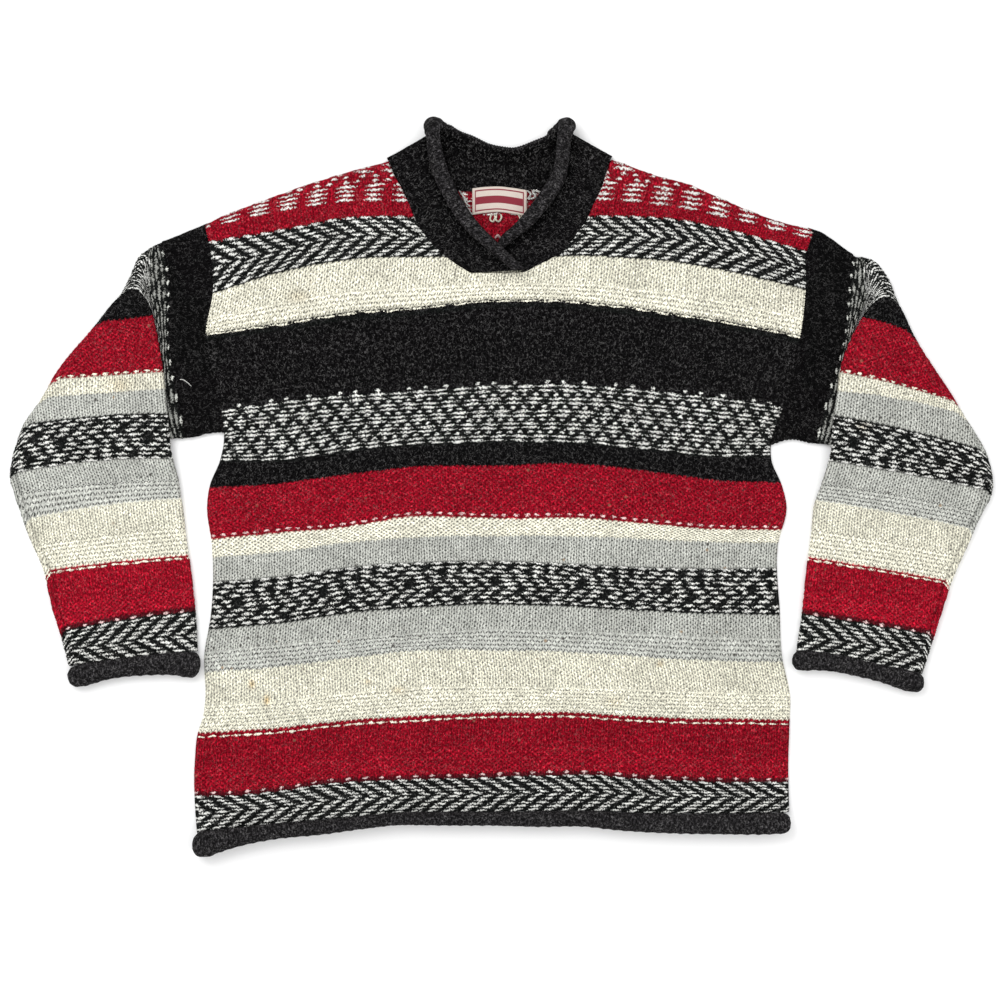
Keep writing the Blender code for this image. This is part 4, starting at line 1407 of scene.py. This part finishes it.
def roll_grid(settings, path, tall, centre):
    """A rolled edge: an oval carried along its path, closed by round ends.

    Round the section the points are half width * cos out and half height * sin up; near each end both
    shrink as a quarter of a circle does.
    """
    rows = np.array(path, dtype=float)
    reached = distances(rows[:, :2])
    stitches = int(round(reached[-1] / STITCH_WIDTH))
    u = steps_of(stitches, POINTS_PER_STITCH)
    at = u / stitches * reached[-1]
    x, y, half = smooth(reached, rows, at).T
    tangent = np.gradient(np.stack([x, y], axis=1), axis=0)
    tangent /= np.linalg.norm(tangent, axis=1, keepdims=True)
    cap = np.maximum(round_over(np.minimum(at, reached[-1] - at) / (half * 0.8)), 0.02)
    v = steps_of(ROLL_COURSES, POINTS_PER_COURSE)[:-1, None]
    angle = v / ROLL_COURSES * 2.0 * np.pi
    reach = half * cap * np.cos(angle)
    spine = np.stack([x, y, np.full(len(at), centre)], axis=-1)
    outward = np.stack([-tangent[:, 1] * reach, tangent[:, 0] * reach, tall * cap * np.sin(angle)], axis=-1)
    points = spine + outward
    chart = chart_of(((ROLL_COURSES, "seed", "charcoal"),), stitches, settings)
    # Painted light: the whole roll's ground yarn is made paler, as if it caught more light.
    fields = toned(knit_fields(chart, u[None, :], v, cap), ROLL_PAINTED_LIGHT)
    normal = normals_of(np.concatenate([points[-1:], points, points[:1]]))[1:-1]
    normal *= np.sign((normal * outward).sum(axis=-1, keepdims=True) + 1e-9)
    points = raised(points, normal, fields, settings)
    points[..., 2] = np.maximum(points[..., 2], ROLL_GAP)
    fields = {key: np.swapaxes(value, 0, 1) for key, value in fields.items()}
    return knit_grid(np.swapaxes(points, 0, 1), grid_quads(len(u), len(v), ring=True), fields, chart)


def roll_piece(settings, name, path, tall, centre, node):
    """Make the rolled edge of a node as a piece of its own."""
    return knit_piece(settings, name, [roll_grid(settings, path, tall, centre)], node)


# ---------------------------------------------------------------- collar

def collar_sections(index):
    """Middle of the collar's cloth and its outward normal, for rows at these places in the table.

    The band runs from seam to edge and changes height on an eased curve; its free edge is a circle on the
    outside of the band. The outside turns over at the side folds.
    """
    rows = smooth(np.arange(len(COLLAR)), np.array(COLLAR, dtype=float), index)
    lean = np.radians(np.clip(rows[:, 6:7], 0.0, 180.0))
    run = rows[:, 3:5] - rows[:, 0:2]
    reach = np.linalg.norm(run, axis=1, keepdims=True)
    ahead = np.concatenate([run / reach, np.zeros_like(reach)], axis=1)
    outward = np.stack([-ahead[:, 1], ahead[:, 0], np.zeros(len(rows))], axis=1)
    outward *= np.where(outward[:, :1] * rows[:, :1] < 0, -1.0, 1.0)
    out = (np.cos(lean) * UP + np.sin(lean) * outward)[:, None]
    fold = COLLAR_SIDE_FOLD * np.sin(lean) * outward
    seam = (rows[:, 0:3] + fold + 0.3 * ahead)[:, None]
    edge = (rows[:, 3:6] + fold)[:, None]
    ahead = ahead[:, None]

    share = np.linspace(0.0, 1.0, BAND_POINTS)[None, :, None]
    climb = edge[..., 2:] - seam[..., 2:]
    band = seam + (edge - seam) * share
    band[..., 2:] = seam[..., 2:] + climb * ease(share)
    along = ahead * reach[:, None] + climb * 6.0 * share * (1.0 - share) * UP
    along /= np.linalg.norm(along, axis=-1, keepdims=True)
    normal = out - along * np.sum(out * along, axis=-1, keepdims=True)
    normal /= np.linalg.norm(normal, axis=-1, keepdims=True)

    turn = np.linspace(0.0, COLLAR_CURL, CURL_POINTS + 1)[None, 1:, None]
    curl_normal = np.cos(turn) * out - np.sin(turn) * ahead
    curl = edge + rows[:, 7][:, None, None] * (out - curl_normal)
    return np.concatenate([band, curl], axis=1), np.concatenate([normal, curl_normal], axis=1)


def collar_painted_light_and_shade(columns):
    """Painted light and shade across the collar: dark in the crease before the roll, pale on the roll as if
    it caught more light.
    """
    column = np.arange(columns, dtype=float)
    tone = 1.0 - 0.8 * np.exp(-((column - BAND_POINTS * 0.86) / 5.0) ** 2)
    tone += (ROLL_PAINTED_LIGHT - 1.0) * ease((column - BAND_POINTS) / 5.0)
    return np.concatenate([tone, tone[::-1]])[None, :, None]


def collar_grid(settings):
    """The collar as one closed cloth: a ring round each section, out along its face and back inside."""
    fine = np.linspace(0.0, len(COLLAR) - 1.0, COLLAR_STEPS)
    reached = distances(collar_sections(fine)[0][:, BAND_POINTS])
    stitches = int(round(reached[-1] / STITCH_WIDTH))
    u = steps_of(stitches, POINTS_PER_STITCH)
    middle, normal = collar_sections(np.interp(u / stitches * reached[-1], reached, fine))
    rows, columns = middle.shape[:2]
    v = distances(middle[rows // 2]) / COURSE_HEIGHT
    chart = chart_of(((int(np.ceil(v[-1])) + 1, "plain", "charcoal"),), stitches, settings)
    outside = knit_fields(chart, u[:, None], v[None, :])
    inside = knit_fields(chart, u[:, None] + 0.5, v[None, ::-1])
    relief = settings.stitch_relief / MM
    outer = middle + normal * (WALL_HALF + outside["height"][..., None] * relief * 0.9)
    inner = middle - normal * (WALL_HALF + inside["height"][:, ::-1][..., None] * relief * 0.6)
    points = np.concatenate([outer, inner[:, ::-1]], axis=1)
    points[..., 2] = np.maximum(points[..., 2], COLLAR_GAP)
    fields = {key: np.concatenate([outside[key], inside[key]], axis=1) for key in outside}
    near = np.arange(columns - 1)
    cap = np.stack([near, near + 1, 2 * columns - 2 - near, 2 * columns - 1 - near], axis=-1)
    far_cap = cap[:, ::-1] + (rows - 1) * 2 * columns
    quads = np.concatenate([grid_quads(rows, 2 * columns, ring=True), cap, far_cap])
    return knit_grid(points, quads, toned(fields, collar_painted_light_and_shade(columns)), chart)


# ---------------------------------------------------------------- label

def label_points():
    """Top and bottom of the label as one closed sheet, slightly pillowed between its stitched edges."""
    rows = np.array(LABEL, dtype=float)
    t = np.linspace(0.0, 1.0, LABEL_COLUMNS)
    x, lower_y, upper_y = smooth(np.linspace(0.0, 1.0, len(rows)), rows, t).T
    share = np.linspace(0.0, 1.0, LABEL_ROWS)[:, None]
    x, y, t, share = np.broadcast_arrays(x, lower_y * (1.0 - share) + upper_y * share, t, share)
    pillow = np.sin(np.pi * share) ** 0.5 * np.sin(np.pi * t) ** 0.5
    z = LABEL_BOTTOM + 0.9 * ease((share - 0.6) / 0.4) + 0.5 * pillow + 0.25 * waver(x, y, 24.0, 4.0)
    upper = np.stack([x, y, z + LABEL_THICK * (0.35 + 0.65 * pillow)], axis=-1)
    lower = np.stack([x, y, np.maximum(z - 0.4, LABEL_BOTTOM - 0.3)], axis=-1)
    return upper, lower, np.stack([t, share], axis=-1)


def rim_of(rows, columns):
    """Numbers of a grid's outer points, in order round it."""
    return np.concatenate([
        np.arange(columns),
        np.arange(1, rows) * columns + columns - 1,
        (rows - 1) * columns + np.arange(columns - 1)[::-1],
        np.arange(1, rows - 1)[::-1] * columns,
    ])


# ---------------------------------------------------------------- settings

def colour_setting(name, description, default):
    """A colour that the user can set."""
    return FloatVectorProperty(name=name, description=description, default=default, subtype="COLOR", size=3,
                               min=0.0, max=1.0)


class SweaterYarns(bpy.types.PropertyGroup):
    """Colours of the yarns and of the label, and how strongly the stitches stand out."""

    charcoal: colour_setting("Charcoal", "Heathered charcoal wool", (0.0034, 0.0032, 0.0034))
    black: colour_setting("Black", "Dark ground of the colourwork", (0.007, 0.008, 0.0075))
    white: colour_setting("White", "Pale figure of the colourwork", (0.74, 0.74, 0.705))
    cream: colour_setting("Cream", "Undyed cream wool", (0.93, 0.90, 0.74))
    grey: colour_setting("Grey", "Pale grey tweed wool", (0.64, 0.65, 0.60))
    red: colour_setting("Red", "Deep red wool", (0.255, 0.0040, 0.0135))
    wine: colour_setting("Wine", "Darker red course at a colour change", (0.11, 0.006, 0.012))
    pink: colour_setting("Pink", "Loops where red meets a pale yarn", (0.84, 0.58, 0.57))
    label_ground: colour_setting("Label", "Pale weave of the neck label", (0.72, 0.62, 0.55))
    label_stripe: colour_setting("Label stripe", "Stripe along the label", (0.26, 0.022, 0.040))
    stitch_relief: FloatProperty(
        name="Stitch relief", description="Height of a stitch over the gaps", default=0.0010, min=0.0,
        max=0.003, unit="LENGTH")
    gap_shade: FloatProperty(
        name="Gap shade", description="How dark the gaps between the stitches are", default=0.95, min=0.0,
        max=1.0, subtype="FACTOR")
    fibre_relief: FloatProperty(
        name="Fibre relief", description="Strength of the yarn's own relief", default=0.55, min=0.0, max=1.0,
        subtype="FACTOR")


class SweaterStudio(bpy.types.PropertyGroup):
    """Floor and light."""

    floor: colour_setting("Floor", "Colour of the floor", (0.95, 0.95, 0.95))
    sky: FloatProperty(
        name="Fill light", description="Strength of the even light from all sides", default=0.94, min=0.0,
        max=5.0)
    key: FloatProperty(
        name="Key light", description="Power of the large soft light", default=31.0, min=0.0, max=2000.0,
        unit="POWER")


# ---------------------------------------------------------------- operators

class SWEATER_OT_front(bpy.types.Operator):
    """Knit the front panel in three parts from hem to shoulders"""

    bl_idname = "sweater.front"
    bl_label = "Front"

    def execute(self, context):
        settings = context.scene.sweater_yarns
        chart = body_chart(settings)
        rolls = [roll_piece(settings, "hem_roll", HEM_PATH, HEM_TALL, HEM_CENTRE, "front")]
        first = 0
        for part, (name, length, area) in enumerate(FRONT_PARTS, 1):
            last = part * BODY_COURSES // len(FRONT_PARTS)
            piece = knit_piece(settings, name, [front_grid(settings, first, last, chart)], "front")
            first = last
            rolls = []
        return {"FINISHED"}


class SWEATER_OT_back(bpy.types.Operator):
    """Knit the back panel, which lies on the floor, and its inside at the neck"""

    bl_idname = "sweater.back"
    bl_label = "Back"

    def execute(self, context):
        settings = context.scene.sweater_yarns
        grids = [back_grid(body_chart(settings)), neck_grid(settings), *yarn_grids(NECK_YARN, settings)]
        piece = knit_piece(settings, "back_panel", grids, "back")
        return {"FINISHED"}


class SWEATER_OT_sleeves(bpy.types.Operator):
    """Knit both sleeves: the arm, the top by the armhole and the rolled cuff"""

    bl_idname = "sweater.sleeves"
    bl_label = "Sleeves"

    def execute(self, context):
        settings = context.scene.sweater_yarns
        for side, lines, upper, path, strands, flip in (
            ("left", SLEEVE_LEFT_LINES, UPPER_LEFT_LINES, CUFF_LEFT_PATH, SLEEVE_YARN, False),
            ("right", SLEEVE_RIGHT_LINES, UPPER_RIGHT_LINES, CUFF_RIGHT_PATH, (), True),
        ):
            node = "sleeve_" + side
            cuff = roll_piece(settings, "cuff_" + side, path, CUFF_TALL, CUFF_CENTRE, node)
            arm = knit_piece(settings, "arm_" + side, sleeve_grids(settings, lines, flip), node)
            grids = upper_grids(settings, upper, not flip) + yarn_grids(strands, settings)
            top = knit_piece(settings, "sleeve_top_" + side, grids, node + "_upper")
        return {"FINISHED"}


class SWEATER_OT_collar(bpy.types.Operator):
    """Knit the shawl collar with its curled edge"""

    bl_idname = "sweater.collar"
    bl_label = "Collar"

    def execute(self, context):
        settings = context.scene.sweater_yarns
        piece = knit_piece(settings, "shawl_collar", [collar_grid(settings)], "collar")
        return {"FINISHED"}


class SWEATER_OT_label(bpy.types.Operator):
    """Weave the neck label and sew it inside the back neck"""

    bl_idname = "sweater.label"
    bl_label = "Neck label"

    def execute(self, context):
        settings = context.scene.sweater_yarns
        upper, lower, weave = label_points()
        rows, columns = upper.shape[:2]
        below = rows * columns
        quads = grid_quads(rows, columns)
        rim = rim_of(rows, columns)
        after = np.roll(rim, -1)
        skirt = np.stack([after, rim, rim + below, after + below], axis=-1)
        points = np.concatenate([upper, lower]).reshape(-1, 3)
        faces = np.concatenate([quads, quads[:, ::-1] + below, skirt])
        material = label_material(settings.label_ground, settings.label_stripe)
        piece, used, corners = add_mesh("woven_label", points, faces, material)
        maps = np.concatenate([weave, weave]).reshape(-1, 2)[used][corners.ravel()]
        fill(piece.data.uv_layers.new(name="weave").uv, "vector", maps)
        place(piece, "neck_label")
        return {"FINISHED"}


class SWEATER_OT_stage(bpy.types.Operator):
    """Set out the floor, the soft lights and the camera straight above"""

    bl_idname = "sweater.stage"
    bl_label = "Stage"

    def execute(self, context):
        scene = context.scene
        studio = scene.sweater_studio
        material, shader = new_material("Pale floor", 0.9, 0.1)
        shader.inputs["Base Color"].default_value = (*studio.floor, 1.0)
        corners = FLOOR_HALF * np.array([(-1, -1, 0), (1, -1, 0), (1, 1, 0), (-1, 1, 0)], dtype=float)
        floor, _, _ = add_mesh("floor", corners, np.array([[0, 1, 2, 3]]), material)

        scene.world = scene.world or bpy.data.worlds.new("Studio")
        scene.world.use_nodes = True
        background = scene.world.node_tree.nodes["Background"]
        background.inputs["Color"].default_value = (1.0, 1.0, 1.0, 1.0)
        background.inputs["Strength"].default_value = studio.sky
        for name, position, share, size in LIGHTS:
            light = bpy.data.lights.new(name, "AREA")
            light.energy = studio.key * share
            light.size = size
            lamp = bpy.data.objects.new(name, light)
            scene.collection.objects.link(lamp)
            lamp.location = position
            lamp.rotation_mode = "QUATERNION"
            lamp.rotation_quaternion = (-lamp.location).to_track_quat("-Z", "Y")

        camera_data = bpy.data.cameras.new("camera")
        camera_data.sensor_width = SENSOR
        camera_data.lens = SENSOR * (CAMERA_HEIGHT - GARMENT_LEVEL) / VIEW_WIDTH
        camera_data.clip_end = VIEW_END
        camera = bpy.data.objects.new("camera", camera_data)
        scene.collection.objects.link(camera)
        camera.location = (*VIEW_CENTRE, CAMERA_HEIGHT)
        camera.rotation_euler = (0.0, 0.0, 0.0)
        scene.camera = camera
        scene.view_settings.view_transform = "Standard"
        return {"FINISHED"}


class SWEATER_PT_panel(bpy.types.Panel):
    """Sidebar panel that lists the sweater's pieces"""

    bl_idname = "SWEATER_PT_panel"
    bl_label = "Sweater"
    bl_space_type = "VIEW_3D"
    bl_region_type = "UI"
    bl_category = "Sweater"

    def draw(self, context):
        layout = self.layout
        for group in (context.scene.sweater_yarns, context.scene.sweater_studio):
            box = layout.box()
            for key in group.__annotations__:
                box.prop(group, key)
        for operator in PIECES:
            layout.operator(operator.bl_idname)


PIECES = (
    SWEATER_OT_front,
    SWEATER_OT_back,
    SWEATER_OT_sleeves,
    SWEATER_OT_collar,
    SWEATER_OT_label,
    SWEATER_OT_stage,
)
CLASSES = (SweaterYarns, SweaterStudio, *PIECES, SWEATER_PT_panel)


def register():
    for item in CLASSES:
        bpy.utils.register_class(item)
    bpy.types.Scene.sweater_yarns = PointerProperty(type=SweaterYarns)
    bpy.types.Scene.sweater_studio = PointerProperty(type=SweaterStudio)


def unregister():
    del bpy.types.Scene.sweater_studio
    del bpy.types.Scene.sweater_yarns
    for item in reversed(CLASSES):
        bpy.utils.unregister_class(item)


def main():
    """Build every piece in order."""
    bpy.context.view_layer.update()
    register()
    bpy.ops.sweater.front()
    bpy.ops.sweater.back()
    bpy.ops.sweater.sleeves()
    bpy.ops.sweater.collar()
    bpy.ops.sweater.label()
    bpy.ops.sweater.stage()


if __name__ == "__main__":
    main()
